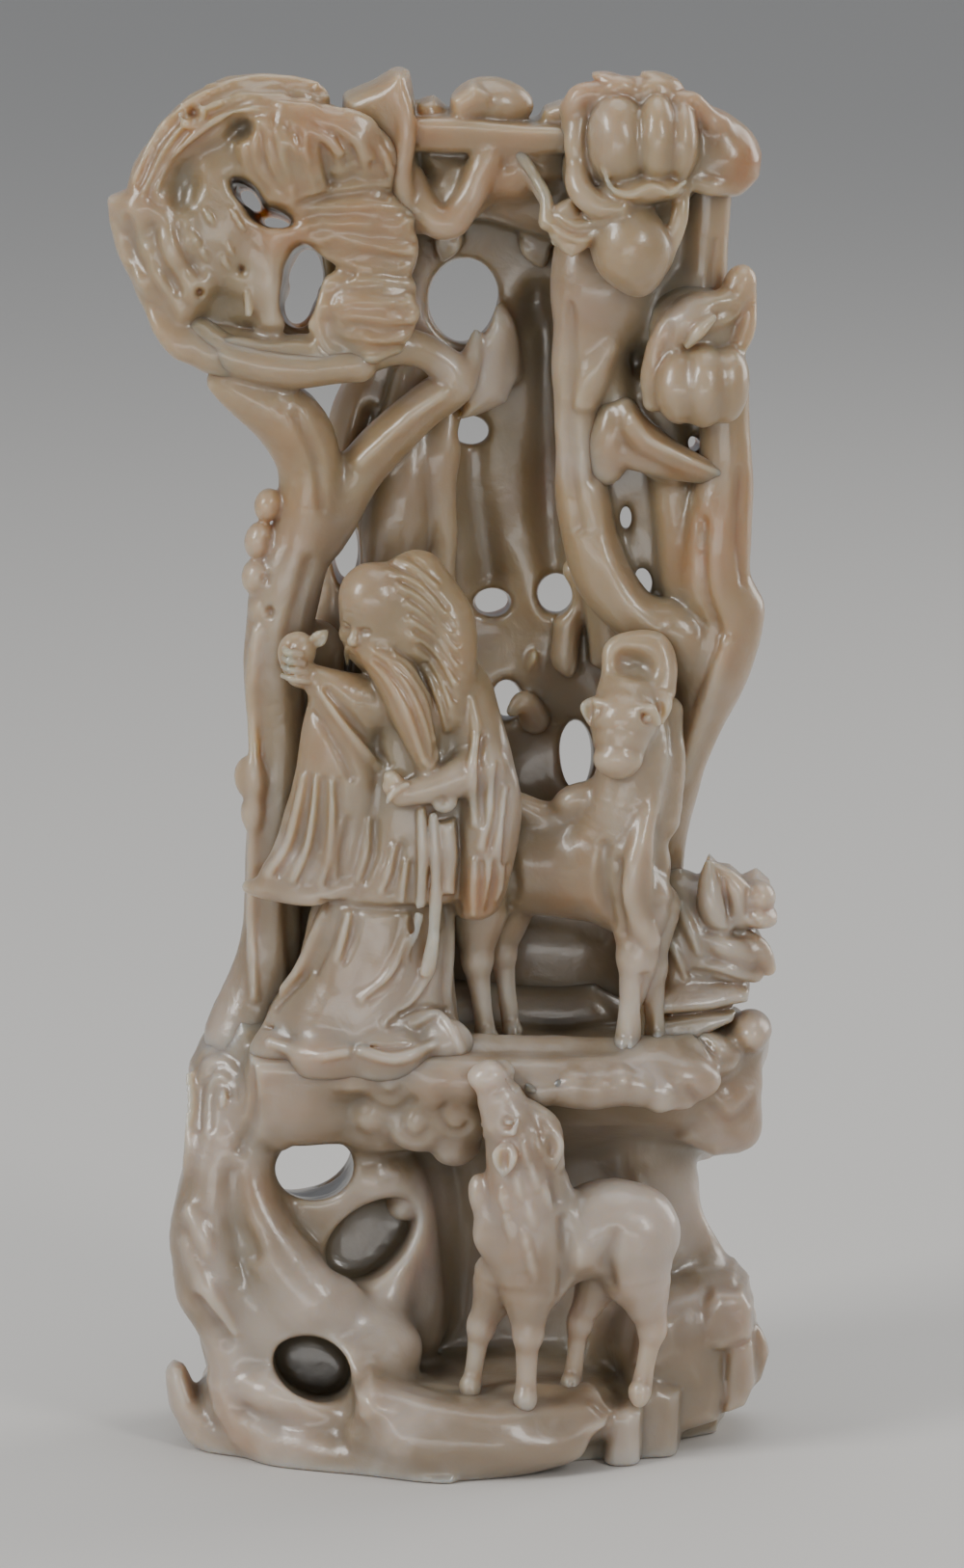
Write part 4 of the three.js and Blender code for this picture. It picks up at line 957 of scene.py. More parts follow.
    # fine needles over the upper tuft and along the rim
    for path in (
        [
            (-26.6, -5.4, 176), (-22.8, -6.8, 176.2), (-16.3, -7.8, 175.8), (-12.4, -7.8, 175),
            (-9.4, -7.4, 173.6), (-7.6, -6.6, 171.4),
        ],
        [(-25.4, -6.4, 174.8), (-22.6, -7.8, 173.6), (-19.2, -8.7, 171.2), (-17, -9, 169.2)],
        [(-24.6, -6.6, 175.6), (-20.2, -8, 174.6), (-15.4, -8.9, 172.2), (-13, -8.9, 170)],
        [(-22.6, -6.9, 175.8), (-16.6, -8.3, 174.6), (-11.4, -8.5, 172.2), (-9.4, -8, 169.6)],
        [(-19.6, -7.4, 175.6), (-13.8, -8.1, 174.6), (-9.8, -7.7, 172.4), (-7.6, -7, 169.4)],
    ):
        last = len(path) - 1
        block.bar([(*place, fine * (0.9 if i in (0, last) else 2.1)) for i, place in enumerate(path)], 1)
    rims = [
        [(-39.2, 166.4), (-36.6, 172), (-32.4, 176.2), (-27.6, 178.2)],
        [(-38, 165.2), (-35.4, 170.4), (-31.6, 174.6), (-27, 176.6), (-22.5, 177.2)],
        [(-36.4, 165.6), (-34, 169.8), (-31, 172.6), (-27.4, 174.8), (-24, 175.6)],
        [(-30, 178), (-25.4, 178.9), (-20.6, 178.9), (-16, 178.2)],
        [(-28, 177.2), (-22.6, 178), (-17.4, 177.4), (-13.6, 176.4)],
    ]
    block.ridges([[(x, z, fine * (1.3 if 0 < i < len(path) - 1 else 0.8)) for i, (x, z) in enumerate(path)]
                  for path in rims], 0.25, 0.7)
    block.grooves([[(x + 0.6, z - 0.8, fine * 1.2) for x, z in path] for path in rims], 0.2, 0.7)
    # short needles on the smooth middle
    block.ridges([
        [(x, z, fine * 0.7), (x + 0.5, z - 0.8, fine * 1.3), (x + 1, z - 1.6, fine * 0.6)]
        for x, z in (
            (-32, 159.4), (-31, 157.8), (-27.6, 158.2), (-26.9, 162.6), (-26.2, 161.4), (-24.4, 159.2),
            (-23.6, 158.4), (-28.2, 156.6), (-30.2, 162.4),
        )
    ], 0.5, 0.3)
    block.grooves([
        [(-37, 163.8, 0.4), (-34.2, 161.6, 0.7), (-33.2, 158, 0.6), (-31, 154.4, 0.4)],
        [(-40.2, 161.4, 0.4), (-39.6, 157.4, 0.6), (-37.4, 153.2, 0.6), (-34.6, 149, 0.4)],
        [(-37, 160.4, 0.3), (-36.2, 156.6, 0.6), (-33.8, 152.4, 0.4)],
        [(-31, 147.6, 0.3), (-27, 146.6, 0.6), (-20.4, 146.4, 0.5), (-17, 146.2, 0.3)],
    ], 0.2, 1)
    # the curl
    block.ridges([
        [
            (-33.2, 176, 0.3), (-33.4, 174.4, 0.45), (-32.2, 173.3, 0.5), (-30.9, 173.6, 0.45),
            (-30.4, 175, 0.4), (-31.2, 176.2, 0.3),
        ],
    ], 0.4, 0.3)
    block.cut(lump((-31.8, -8.4, 174.9), (0.8, 3, 0.8)), 0.4)
    # the back, plainer
    block.addAll([
        stroke([(-38, 6, 156, 2.4), (-34, 8, 164, 2.8), (-26, 9, 170, 3), (-16, 8.6, 171, 2.6)]),
        stroke([(-36, 6, 150, 2.4), (-28, 8.6, 150, 3), (-18, 8.6, 148, 2.8), (-10, 7, 150, 2.4)]),
        lump((-24, 7.4, 160), (7, 3.4, 5), 20), lump((-11, 7, 160), (5.4, 3.2, 6)),
    ], 1.6)
    # openings right through, and shallow hollows
    for x, z, wide, tall, turned in (
        (-24.9, 164.4, 2.7, 1.2, -44), (-21.6, 161.5, 2.7, 1.2, -16), (-18, 153.6, 2.4, 4.4, -8),
        (-18.8, 150.6, 2, 2.6, 0),
    ):
        block.cut(ovalHole((x, -6, z), (wide, tall), turned, (0, 1, -0.17), 40), 1)
    block.cutAll([
        lump((-25.7, -7.2, 172.8), (1.7, 2.4, 1.4), -24), lump((-33, -7.8, 165.6), (2, 2.8, 3.6), 10),
        lump((-27.7, -8.2, 150), (2.8, 3.6, 3.2), 22),
    ], 1.5)
    block.cutAll([
        lump((-25.7, -7.4, 154.8), (0.6, 2.2, 0.7)), lump((-31, -8.2, 152), (0.5, 2, 0.6)),
        lump((-12.8, -4, 139), (3.2, 30, 1.6), 6),
    ], 0.9)
    block.bar([(-24.9, -6.4, 151.8, 0.3), (-24.8, -6.6, 149.2, 0.4)], 0.4)
    block.undulate(2.4, 3.4, 31)
    block.undulate(0.9, 1.3, 32)
    block.undulate(7, 6, 33, behind=1)
    return block


# The peach tree's crown: fruit between leaves

orchard = {
    "lobe": 0.9,  # mm, how softly the lobes of a fruit meet
    "step": 0.3,  # mm, the fineness of this block
}


def makePeachCrown():
    block = Block((8, -17, 124), (45, 16, 182), orchard["step"])
    block.addAll([
        lump((24.4, 0.6, 168), (9, 8, 8.6)), lump((24, 4, 158), (8, 7, 10)),
        lump((31.6, 0, 145.4), (5.4, 4.8, 6.6)), lump((20.6, 0.4, 151.6), (6, 4.6, 7.4)),
        lump((25, -2.4, 171.4), (8.2, 5.4, 7.4)), lump((18.6, -3.2, 167), (3.4, 4.4, 5.4)),
        lump((33.6, -1.6, 170.6), (4.6, 4.2, 4.8), 20), lump((32.4, -2.2, 146.6), (5.6, 4.2, 5.4)),
    ], 1.8)
    # ruffled leaves over the top, running down to the knob at the right
    block.bar([
        (16.8, -4.4, 175.2, 1.9), (21, -5, 177, 2.1), (26, -4.8, 177.2, 2.1), (31, -4.4, 175.2, 2),
        (35, -4, 172.8, 1.8),
    ], 1)
    block.addAll([
        stroke([(16.4, -5.2, 173, 1.3), (17.4, -5.6, 176.8, 1.6), (20.2, -6.2, 177.6, 1.2)]),
        stroke([(19.6, -6, 176.6, 1), (22.4, -6.4, 178.2, 1.4), (25.2, -6, 177, 1)]),
        stroke([(24.2, -6.2, 176.6, 0.9), (27, -6, 178, 1.4), (29.8, -5.6, 176.2, 1)]),
        stroke([(28.8, -6.2, 175.4, 0.9), (31.4, -5.8, 176.2, 1.3), (34.4, -5, 173.4, 1.2)]),
        lump((21.4, -4.6, 179), (2.6, 2.4, 0.9), 14), lump((27.8, -4, 178.8), (2.8, 2.4, 0.9), 20),
    ], 0.5)
    block.slab([
        (31, 164.8), (30.6, 171), (33.8, 173.8), (37.4, 172.4), (40.2, 168.8), (40.2, 166.4), (37.8, 164.2),
        (35, 164.2),
    ], -5.4, 0, 1.3, 0.9, slope=(0.35, 0.2))
    block.ball((36, 0, 168.4), (4.6, 6.2, 5), 1.6, 16)
    block.bar([(31.4, -6, 166, 1), (34.4, -5.8, 165.4, 1.2), (37.2, -4.4, 165.8, 0.8)], 0.6)
    # the double fruit, in upright lobes, with a frill of leaf below it
    for x, y, z, wide, deep, tall in (
        (22.4, -7.5, 171.2, 4, 4.3, 5.9), (27.2, -7.9, 171.6, 2.9, 4.2, 5.6),
        (30.4, -6.9, 171, 2.2, 3.9, 5.2),
    ):
        block.ball((x, y, z), (wide, deep, tall), orchard["lobe"], x - 26)
    block.bar([(17.4, -5.4, 174.6, 1.3), (16.9, -6.4, 171, 1.5), (17.4, -6.4, 168, 1.4)], 0.5)
    block.bar([
        (17, -6.6, 168.4, 1.4), (17.4, -8.2, 165.4, 1.7), (19.8, -9.4, 163.2, 1.6), (22.6, -10, 163, 1.3),
    ], 0.5)
    block.ball((25.4, -7.4, 165.2), (5.6, 4.2, 2), 0.8, -4)
    block.bar([
        (20.4, -10.3, 168, 0.3), (21.6, -11, 165.6, 0.4), (24, -11.4, 164.9, 0.45), (25.9, -11.4, 165.8, 0.4),
        (27.2, -11.2, 165.8, 0.4), (28.9, -10.8, 165.1, 0.4), (30.8, -9.9, 166.4, 0.3),
    ], 0.6)
    # the third fruit and the leaf that hangs beside it
    block.add(peach((24, -7.2, 157.9), (5.3, 5.2, 5.7), -14, 2, 0.03, 0.16, 1.2), 0.7)
    block.ball((22.6, -5.8, 161.8), (4.6, 4.2, 3.6), 1.6, 20)
    block.bar([
        (30.6, -6.8, 165.4, 1), (30, -7.6, 161, 1.3), (28.6, -7, 156.8, 0.9), (27.6, -6.2, 153.8, 0.4),
    ], 0.8, 0.8)
    # the curling leaf at the left, with its stem
    block.bar([
        (9.6, -4, 169.6, 1), (11.6, -5, 166.8, 0.8), (13.1, -6.2, 164.2, 0.9), (13.4, -7, 161, 1.3),
    ], 0.5)
    block.slab([
        (12.9, 161.6), (13.6, 158.9), (15.2, 157.3), (16.4, 156.6), (18.4, 157.8), (19.6, 159.2), (21, 161.6),
        (18.8, 161.7), (17.4, 162.2), (16.4, 164.2), (14.6, 163.4),
    ], -8.8, -6, 0.9, 0.5, slope=(-0.12, 0.2))
    block.ridges([
        [(13.4, 161, 0.2), (15.6, 159.4, 0.4), (18, 158.9, 0.35), (19.6, 159.8, 0.2)],
        [(14.2, 162.4, 0.2), (16.8, 160.8, 0.35), (20.6, 161.3, 0.2)],
    ], 0.3, 0.4)
    # the stub and the leaves that fold round the lower fruit
    block.ball((38, -3, 152.4), (2.1, 2.2, 2.7), 0.6, 20)
    block.bar([
        (38, -3, 151.6, 1.6), (35.4, -4.4, 149.6, 2.4), (32, -5, 148.6, 2.8), (29, -5, 145.8, 2.4),
        (27.2, -4.8, 141.6, 1.9), (26.9, -4.4, 137.6, 1.3),
    ], 0.7)
    block.bar([(39, -2.4, 151, 1.1), (38.5, -3, 147, 1.5), (37.6, -4, 144.4, 1.3)], 0.7)
    block.grooves([
        [(28.8, 147.4, 0.3), (28.2, 143.4, 0.6), (28, 139.4, 0.3)],
        [(33.4, 147.6, 0.3), (35.6, 149.4, 0.6), (37.4, 149.6, 0.3)],
    ], 0.2, 1.2)
    block.bar([(31.2, -7.6, 145.2, 0.4), (32.8, -8, 147.2, 0.8), (34.6, -7.4, 148.8, 0.4)], 0.8)
    for x, y, wide, deep, tall in (
        (30.2, -5.2, 3.2, 4.4, 5), (33.4, -5.8, 3.5, 4.9, 5.3), (36.4, -5, 2.9, 4.4, 5),
    ):
        block.ball((x, y, 139.8), (wide, deep, tall), orchard["lobe"], x - 33)
    # the broad leaf that ends the branch between the trunks, and the stone left beside it
    block.ball((21.6, 0.2, 132), (3.2, 3.4, 6), 1.6, 8)
    block.addAll([
        lump((26, -0.6, 131.4), (4.6, 2.6, 3), 38),
        stroke([
            (23.6, -1.6, 136.4, 1.4), (25, -2.6, 133.6, 2), (28.4, -2.8, 131, 1.9), (32.6, -2.6, 129, 1.5),
            (37.8, -1.6, 126.8, 0.5),
        ]),
        stroke([
            (23.6, -1, 130.4, 1.8), (28.4, -1.6, 128.8, 1.5), (33.4, -1.8, 127.6, 1),
            (37.2, -1.4, 126.6, 0.4),
        ]),
    ], 1)
    block.bar([
        (24.2, -3.6, 135.6, 0.35), (26.4, -4.7, 132.8, 0.5), (29.6, -4.6, 131, 0.5), (33.6, -4, 129.1, 0.4),
        (37.4, -2.2, 127.3, 0.25),
    ], 0.7)
    block.undulate(1.4, 3, 41)
    block.undulate(0.6, 1.3, 42)
    return block


# The elder: robe, sleeves, beard and fruit

elderly = {
    "robeFolds": 9,
    "foldDepth": 0.022,  # share of the robe's width
    "lockWidth": 0.32,   # mm, the radius of a lock of hair
    "faceTurn": -34,     # degrees, the face turned to the left
    "step": 0.26,        # mm, the fineness of this block
}


def makeElder():
    block = Block((-28, -18.4, 50.5), (13, 4, 122), elderly["step"])
    makeRobe(block)
    makeSleeves(block)
    makeHead(block)
    makeBeard(block)
    workRobe(block)
    block.undulate(1.1, 3.4, 51)
    block.undulate(0.45, 1.3, 52)
    return block


def makeRobe(block):
    robe = [
        (-10.3, -6.6, 51, 13.2, 9), (-10.3, -6.6, 54.5, 12.8, 8.6), (-10.6, -6.8, 58.5, 12.2, 8.2),
        (-9.2, -7, 64, 10.2, 7.6), (-8.3, -7, 69.5, 9.5, 7.2), (-7.4, -7, 75, 9, 7), (-5, -7, 82, 8.6, 6.8),
        (-3.2, -7, 88, 8.6, 6.6), (-2, -7, 96, 8.2, 6.2), (-1.6, -7, 102, 7.4, 5.4),
        (-2.6, -7, 106.6, 4.6, 4.2),
    ]
    block.add(draped(robe, elderly["robeFolds"], elderly["foldDepth"], 0.03), 0)
    # the hem spread over the ledge
    block.addAll([
        lump((-21.4, -9, 54.4), (3.8, 3.6, 2.6), -20), lump((-14.8, -13.6, 54), (4.8, 2.6, 2.6)),
        lump((-6.4, -14, 54.2), (4.8, 2.6, 3), 8), lump((0.6, -12, 55), (3.4, 2.8, 3.6), -12),
    ], 1.6)
    # the coat over the skirt, with its edge
    block.add(draped([
        (-5.4, -8.2, 73.6, 9.4, 6.7), (-5, -8.2, 78, 8.4, 6.5), (-3.8, -8, 84, 7.2, 6.2),
        (-3.2, -7.6, 90, 6.9, 6),
    ], 6, 0.02, 0.02), 0.5)


def makeSleeves(block):
    # the raised arm and its hanging sleeve
    block.add(draped([
        (-15.4, -9.8, 74.2, 9.6, 3.2), (-15, -10, 77, 8.8, 3.5), (-14.4, -10, 82, 7, 3.8),
        (-13.6, -10, 88, 6, 4.1), (-13.4, -10, 94, 5.2, 4), (-13.2, -10.4, 99, 4.2, 3.4),
        (-13.8, -10.8, 102.6, 2.6, 2.2),
    ]), 0.8)
    block.bar([
        (-25, -8.6, 75.2, 0.9), (-21.4, -10.6, 75, 1.3), (-17, -12.6, 74.6, 1.2), (-12, -12.6, 75.8, 1),
    ], 1)
    block.bar([
        (-4, -9, 99, 3.8), (-9.6, -10.6, 99.6, 3.3), (-14, -11.6, 101.4, 2.6), (-17.2, -12, 103.2, 1.7),
    ], 1.6)
    # the hand and the fruit in it
    block.ball((-18.2, -12.2, 103.6), (2.2, 1.9, 2), 0.4, 30)
    for i in range(4):
        lift = 1.15 * i
        block.bar([
            (-17.2 - 0.35 * i, -13.6, 102.8 + lift, 0.55), (-19.2 - 0.2 * i, -14.4, 103.2 + lift, 0.52),
            (-20.5 + 0.1 * i, -13.4, 103.5 + lift, 0.42),
        ], 0.16)
    block.add(peach((-18.7, -11.6, 106.2), (2.4, 2.2, 2.6), 18, 2, 0.08, 0.3, 0.5), 0.15)
    block.add(leaf((-17, -11.6, 107), (-14.6, -11.4, 109.2), 1.8, thick=1.4, bow=0.3, veins=0.1), 0.2)
    # the right sleeve, over the deer's back
    block.add(draped([
        (4, -9.8, 71.2, 2.4, 3.6), (4.6, -9.8, 74, 3.3, 4.2), (5.4, -9.8, 80, 4, 4.7),
        (5.8, -9.6, 86, 4.3, 4.8), (4.6, -9.2, 93, 4.1, 4.6), (2.9, -8.6, 99.5, 3.9, 4.4),
        (1.4, -8, 104.4, 3, 3.6),
    ]), 0.9)
    block.bar([
        (5.2, -12.2, 92, 2.8), (1.6, -13.8, 90.2, 2.4), (-2.6, -14.6, 88.8, 1.9), (-5.6, -14.8, 88.2, 1.4),
    ], 1.2)
    # the hands at the waist
    block.ball((-5.6, -15, 88.8), (2.3, 1.3, 1.7), 0.5, 30)
    block.ball((-6.4, -15, 90.4), (1.2, 1, 0.9), 0.3, 30)
    for i in range(4):
        block.bar([
            (-4.6 - 0.5 * i, -16.1, 89.8 - 0.2 * i, 0.42), (-6.2 - 0.35 * i, -16.2, 88.9 - 0.45 * i, 0.4),
            (-7.3 - 0.1 * i, -15.6, 88.1 - 0.6 * i, 0.34),
        ], 0.14)
    # the girdle's knot, its flat end and its ribbons
    block.ball((0.1, -14.8, 87.5), (1.7, 1.1, 1.6), 0.3)
    block.cut(lump((0.1, -16.1, 87.6), (0.8, 0.7, 0.7)), 0.3)
    block.slab([
        (-0.5, 84.6), (1.5, 84.8), (1.9, 80), (1.5, 75.2), (-0.2, 75.2), (-0.5, 80),
    ], -15.1, -10, 0.7, 0.5)
    block.bar([
        (-2.8, -14.4, 86, 0.6), (-2.6, -14.8, 80, 0.7), (-3.2, -14.6, 72, 0.6), (-5, -13.8, 66.6, 0.4),
    ], 0.6, 0.8)
    block.bar([
        (-1.2, -14.5, 85.4, 0.6), (-0.9, -14.9, 78, 0.7), (-1.2, -14.6, 70.6, 0.7), (-2.4, -14, 65, 0.4),
    ], 0.6, 0.8)


def turnedFace():
    # from the face's own directions, sideways, ahead and up, into the block's
    swing, nod = math.radians(elderly["faceTurn"]), math.radians(-13)
    ahead = unit((math.sin(swing), -math.cos(swing), math.sin(nod)))
    up = unit(np.array((0.16, 0, 1)) - (np.array((0.16, 0, 1)) @ ahead) * ahead)
    side = np.cross(up, ahead)
    middle = np.array((-8.9, -10.4, 110.2))
    return lambda across, out, rise: middle + across * side + out * ahead + rise * up


def makeHead(block):
    at = turnedFace()
    # skull, high forehead, cheeks, jaw and neck
    block.ball((-5.4, -8.8, 109.9), (6.9, 6, 7.9), 0.8, 24)
    block.addAll([
        lump(at(0.2, 0.2, 3.2), (4.5, 4.4, 4.7), 12), lump(at(0, 0.3, -0.6), (3.5, 3.7, 4), 12),
        lump(at(0, 0.6, -3.4), (2.6, 2.9, 2.5)),
    ], 2)
    for way in (-1, 1):
        block.ball(at(1.9 * way, 2.5, -1.5), (1.4, 1.3, 1.2), 0.5)
        block.cut(lump(at(1.45 * way, 4.3, 0.35), (0.95, 0.9, 0.55)), 0.5)
        block.ball(at(1.45 * way, 3.35, 0.3), (0.8, 0.65, 0.42), 0.12)
        block.cut(lineAlong(
            at, (0.8 * way, 4.15, 0.2, 0.12), (1.5 * way, 4.1, 0.14, 0.16), (2.2 * way, 3.7, 0.1, 0.1),
        ), 0.1)
        block.add(lineAlong(
            at, (0.55 * way, 4, 1, 0.34), (1.5 * way, 3.95, 1.4, 0.4), (2.6 * way, 3.1, 0.9, 0.3),
            (3.1 * way, 2.5, 0.1, 0.22),
        ), 0.25)
        # the ear with its long lobe
        block.ball(at(3.75 * way, -0.2, -0.7), (0.7, 1.2, 2.2), 0.3)
        block.cut(lump(at(4.35 * way, 0.35, -0.4), (0.35, 0.6, 1.1)), 0.3)
        # smile lines and moustache
        block.cut(lineAlong(
            at, (0.85 * way, 4.05, -1.3, 0.14), (1.6 * way, 3.7, -2.2, 0.18), (1.9 * way, 3.2, -3.2, 0.12),
        ), 0.25)
        block.add(lineAlong(
            at, (0.25 * way, 4.2, -2.15, 0.34), (1.3 * way, 3.9, -2.65, 0.4), (2.2 * way, 3, -4.1, 0.36),
            (2.4 * way, 2.6, -5.8, 0.26),
        ), 0.2)
    block.add(lineAlong(at, (0, 3.75, 1, 0.42), (0, 4.5, -0.5, 0.52), (0, 4.75, -1.1, 0.72)), 0.3)
    block.ball(at(0.65, 4.25, -1.25), (0.42, 0.42, 0.36), 0.15)
    block.ball(at(-0.65, 4.25, -1.25), (0.42, 0.42, 0.36), 0.15)
    block.ball(at(0, 3.7, -2.95), (0.85, 0.55, 0.3), 0.2)
    # lines on the forehead
    for rise, wide in ((2.6, 1.8), (3.5, 1.5)):
        block.cut(lineAlong(
            at, (-wide, 4.25, rise - 0.1, 0.08), (0, 4.7, rise + 0.15, 0.12), (wide, 4.25, rise - 0.1, 0.08),
        ), 0.25)


def makeBeard(block):
    lock = elderly["lockWidth"]
    # the mass of hair down the back and the long beard
    block.bar([
        (-3.4, -8.4, 115, 4), (0.2, -9.4, 110, 3.8), (1, -10.6, 104.6, 3.2), (0.4, -12, 98.6, 2.4),
    ], 1.2)
    block.bar([
        (-8.2, -12.8, 106.4, 2.6), (-5.8, -13.4, 102.6, 2.7), (-3.6, -13.8, 97.4, 2.4),
        (-2.2, -14, 92.6, 1.4), (-1.6, -14, 90.2, 0.6),
    ], 1)
    hair = [
        [(-7.6, 118.2), (-4.3, 117.4), (-1.1, 114.9)], [(-6.9, 116.8), (-3.2, 115.1), (0.1, 111.4)],
        [(-5.6, 115), (-2.4, 112.9), (0.8, 108.8)], [(-4.6, 112.9), (-1.9, 110.7), (1.4, 106.8)],
        [(-4.2, 110.8), (-1.5, 108.7), (1.6, 104.8)], [(-4, 108.8), (-1.3, 106.8), (1.5, 102.6)],
        [(-3.4, 106.8), (-1.2, 104.4), (1, 99.8)], [(-2.6, 104.4), (-0.8, 101.2), (0.4, 96.6)],
        [(-6.4, 106.4), (-3.4, 103.4), (-0.9, 97.4), (-0.9, 93)],
        [(-7, 105.2), (-4.1, 101.6), (-1.9, 96), (-1.4, 92.4)],
        [(-8.4, 106.6), (-5.2, 104.6), (-2.6, 100.6), (-1.2, 95.4)],
        [(-7.8, 104.6), (-5, 100.9), (-2.9, 95.4), (-1.8, 92)],
        [(-9, 105.4), (-6.6, 102.6), (-4.2, 98), (-2.4, 92.8)],
    ]
    block.ridges([[(x, z, lock) for x, z in path] for path in hair], -0.3, 0.7)
    block.grooves([[(x + 0.45, z + 0.75, lock * 0.6) for x, z in path] for path in hair], 0.2, 0.7)


def workRobe(block):
    # the front edge of the coat, from the raised arm down to the hands
    block.ridges([
        [(-15.7, 101.6, 0.4), (-12.8, 97.6, 0.7), (-10.6, 94.4, 0.6), (-8.4, 91.6, 0.4)],
        [(3.6, 100.4, 0.3), (4.2, 96.4, 0.5), (3.8, 92.4, 0.4)],
    ], 0.15, 0.7)
    block.grooves([
        [(-14.6, 101.6, 0.4), (-11.6, 97.8, 0.6), (-9.2, 94.6, 0.5), (-7.2, 92, 0.3)],
        [(-16.6, 98.6, 0.3), (-13.6, 94.6, 0.5), (-11.6, 90.4, 0.4)],
    ], 0.2, 0.9)
    ridges = [
        # left sleeve, only below the elbow
        [(-17.9, 90.2, 0.3), (-18.6, 85.9, 0.7), (-19.8, 81.4, 0.7), (-22.2, 77.6, 0.4)],
        [(-16.3, 90, 0.3), (-16.6, 85.4, 0.7), (-17.4, 80.8, 0.7), (-19.2, 77, 0.3)],
        [(-14.2, 89.6, 0.3), (-14.1, 85.2, 0.5), (-14.6, 80, 0.4), (-15.6, 76.6, 0.3)],
        [(-12.9, 84.8, 0.3), (-13.7, 80.8, 0.45), (-14, 77.4, 0.3)],
        # middle
        [(-9.5, 84.4, 0.3), (-9.8, 80.4, 0.5), (-10.9, 77, 0.3)],
        [(-6.2, 81.4, 0.3), (-7, 78, 0.4), (-7.9, 75.8, 0.3)],
        [(-4.8, 79.2, 0.3), (-5, 76.8, 0.4), (-5.2, 74.6, 0.3)],
        # skirt
        [(-15.2, 73.2, 0.3), (-16.3, 69.4, 0.8), (-18.7, 64.2, 0.8), (-22.4, 59.6, 0.4)],
        [(-14.2, 73, 0.3), (-15.2, 69.2, 0.5), (-17.2, 64.6, 0.4)],
        [(-12, 72.8, 0.3), (-12.6, 69.8, 0.6), (-13.6, 66.6, 0.3)],
        [(-4.6, 72.2, 0.3), (-5.4, 67.8, 0.5), (-7.4, 64, 0.5), (-10.4, 61.6, 0.3)],
        [(-1, 69.6, 0.3), (-1.8, 65, 0.6), (-4, 61, 0.5), (-7.6, 58.4, 0.3)],
        [(1, 73.4, 0.3), (0.8, 67, 0.6), (0.4, 61, 0.6), (1.4, 56.6, 0.3)],
        # right sleeve
        [(4.2, 95.6, 0.3), (3.8, 91, 0.5), (4.2, 84.6, 0.4)], [(6.2, 92, 0.3), (6, 86, 0.6), (5, 81.6, 0.4)],
        [(7.7, 88.6, 0.3), (7.2, 83.6, 0.5), (6.8, 79.4, 0.3)],
        [(4.1, 79.4, 0.3), (4.1, 75.8, 0.6), (4, 72.6, 0.3)],
        [(5.8, 79.6, 0.3), (5.6, 76.4, 0.5), (5.1, 73, 0.3)],
        [(7.3, 78.6, 0.3), (7.2, 76, 0.4), (6.8, 74.4, 0.3)],
    ]
    block.ridges(ridges, 0.1, 0.9)
    block.grooves([[(x + 0.9, z, r * 0.7) for x, z, r in path] for path in ridges], 0.15, 0.9)
    # the deep fold below the hand, the edge of the coat and the cloud forms at the feet
    block.cut(lump((-9, -15.6, 87), (1.5, 1.7, 2), 20), 0.8)
    block.grooves([
        [(-15.6, 74.2, 0.3), (-11.4, 73.4, 0.5), (-7.6, 73.2, 0.5), (-2.6, 73.2, 0.35)],
        [(-23, 57, 0.3), (-17, 55.9, 0.4), (-10, 55.4, 0.4), (-4, 55.6, 0.3)],
        [(-5.4, 59.4, 0.3), (-2.4, 60.2, 0.4), (0.4, 59.2, 0.3)],
    ], 0.1, 0.6)
    block.ridges([
        [(-22.4, 55.4, 0.5), (-17.4, 54.4, 0.7), (-12.4, 54.8, 0.5)],
        [(-10.6, 55, 0.5), (-6, 54.2, 0.7), (-1.2, 55.6, 0.5)],
        [(-3.6, 58.2, 0.4), (-1, 59.2, 0.5), (1, 57.6, 0.5), (2.4, 54.8, 0.4)],
    ], 0.2, 0.8)


# The two deer

deer = {
    "eye": 0.62,   # mm, the radius of an eye
    "step": 0.27,  # mm, the fineness of their blocks
}


def makeLeg(block, joints, thigh, shin, hoof=(1.35, 1.9)):
    # thigh, knee, shank, pastern and a cloven hoof
    top, knee, ground = (np.array(joint, float) for joint in joints)
    above = top + (knee - top) * 0.55
    below = knee + (ground - knee) * 0.45
    pastern = ground + (knee - ground) * 0.17 + np.array((0, 0.2, 0))
    block.bar([
        (*top, thigh), (*above, thigh * 0.66), (*knee, shin * 1.04), (*below, shin * 0.74),
        (*pastern, shin * 0.78), (*(ground + np.array((0, -0.2, 1))), shin * 0.85),
    ], 0.7)
    block.ball(knee + np.array((0, -0.25, 0)), (shin * 1.16, shin * 1.12, shin * 1.35), 0.6)
    block.ball(ground + np.array((0, -0.5, hoof[1] * 0.45)), (hoof[0], hoof[0] * 1.25, hoof[1]), 0.4)
    block.cut(strokeAlong(np.array([
        [*(ground + np.array((0, -0.5 - 1.3 * hoof[0], 0))), 0.3],
        [*(ground + np.array((0, -0.7 - 0.9 * hoof[0], 1.5 * hoof[1]))), 0.14],
    ])), 0.2)


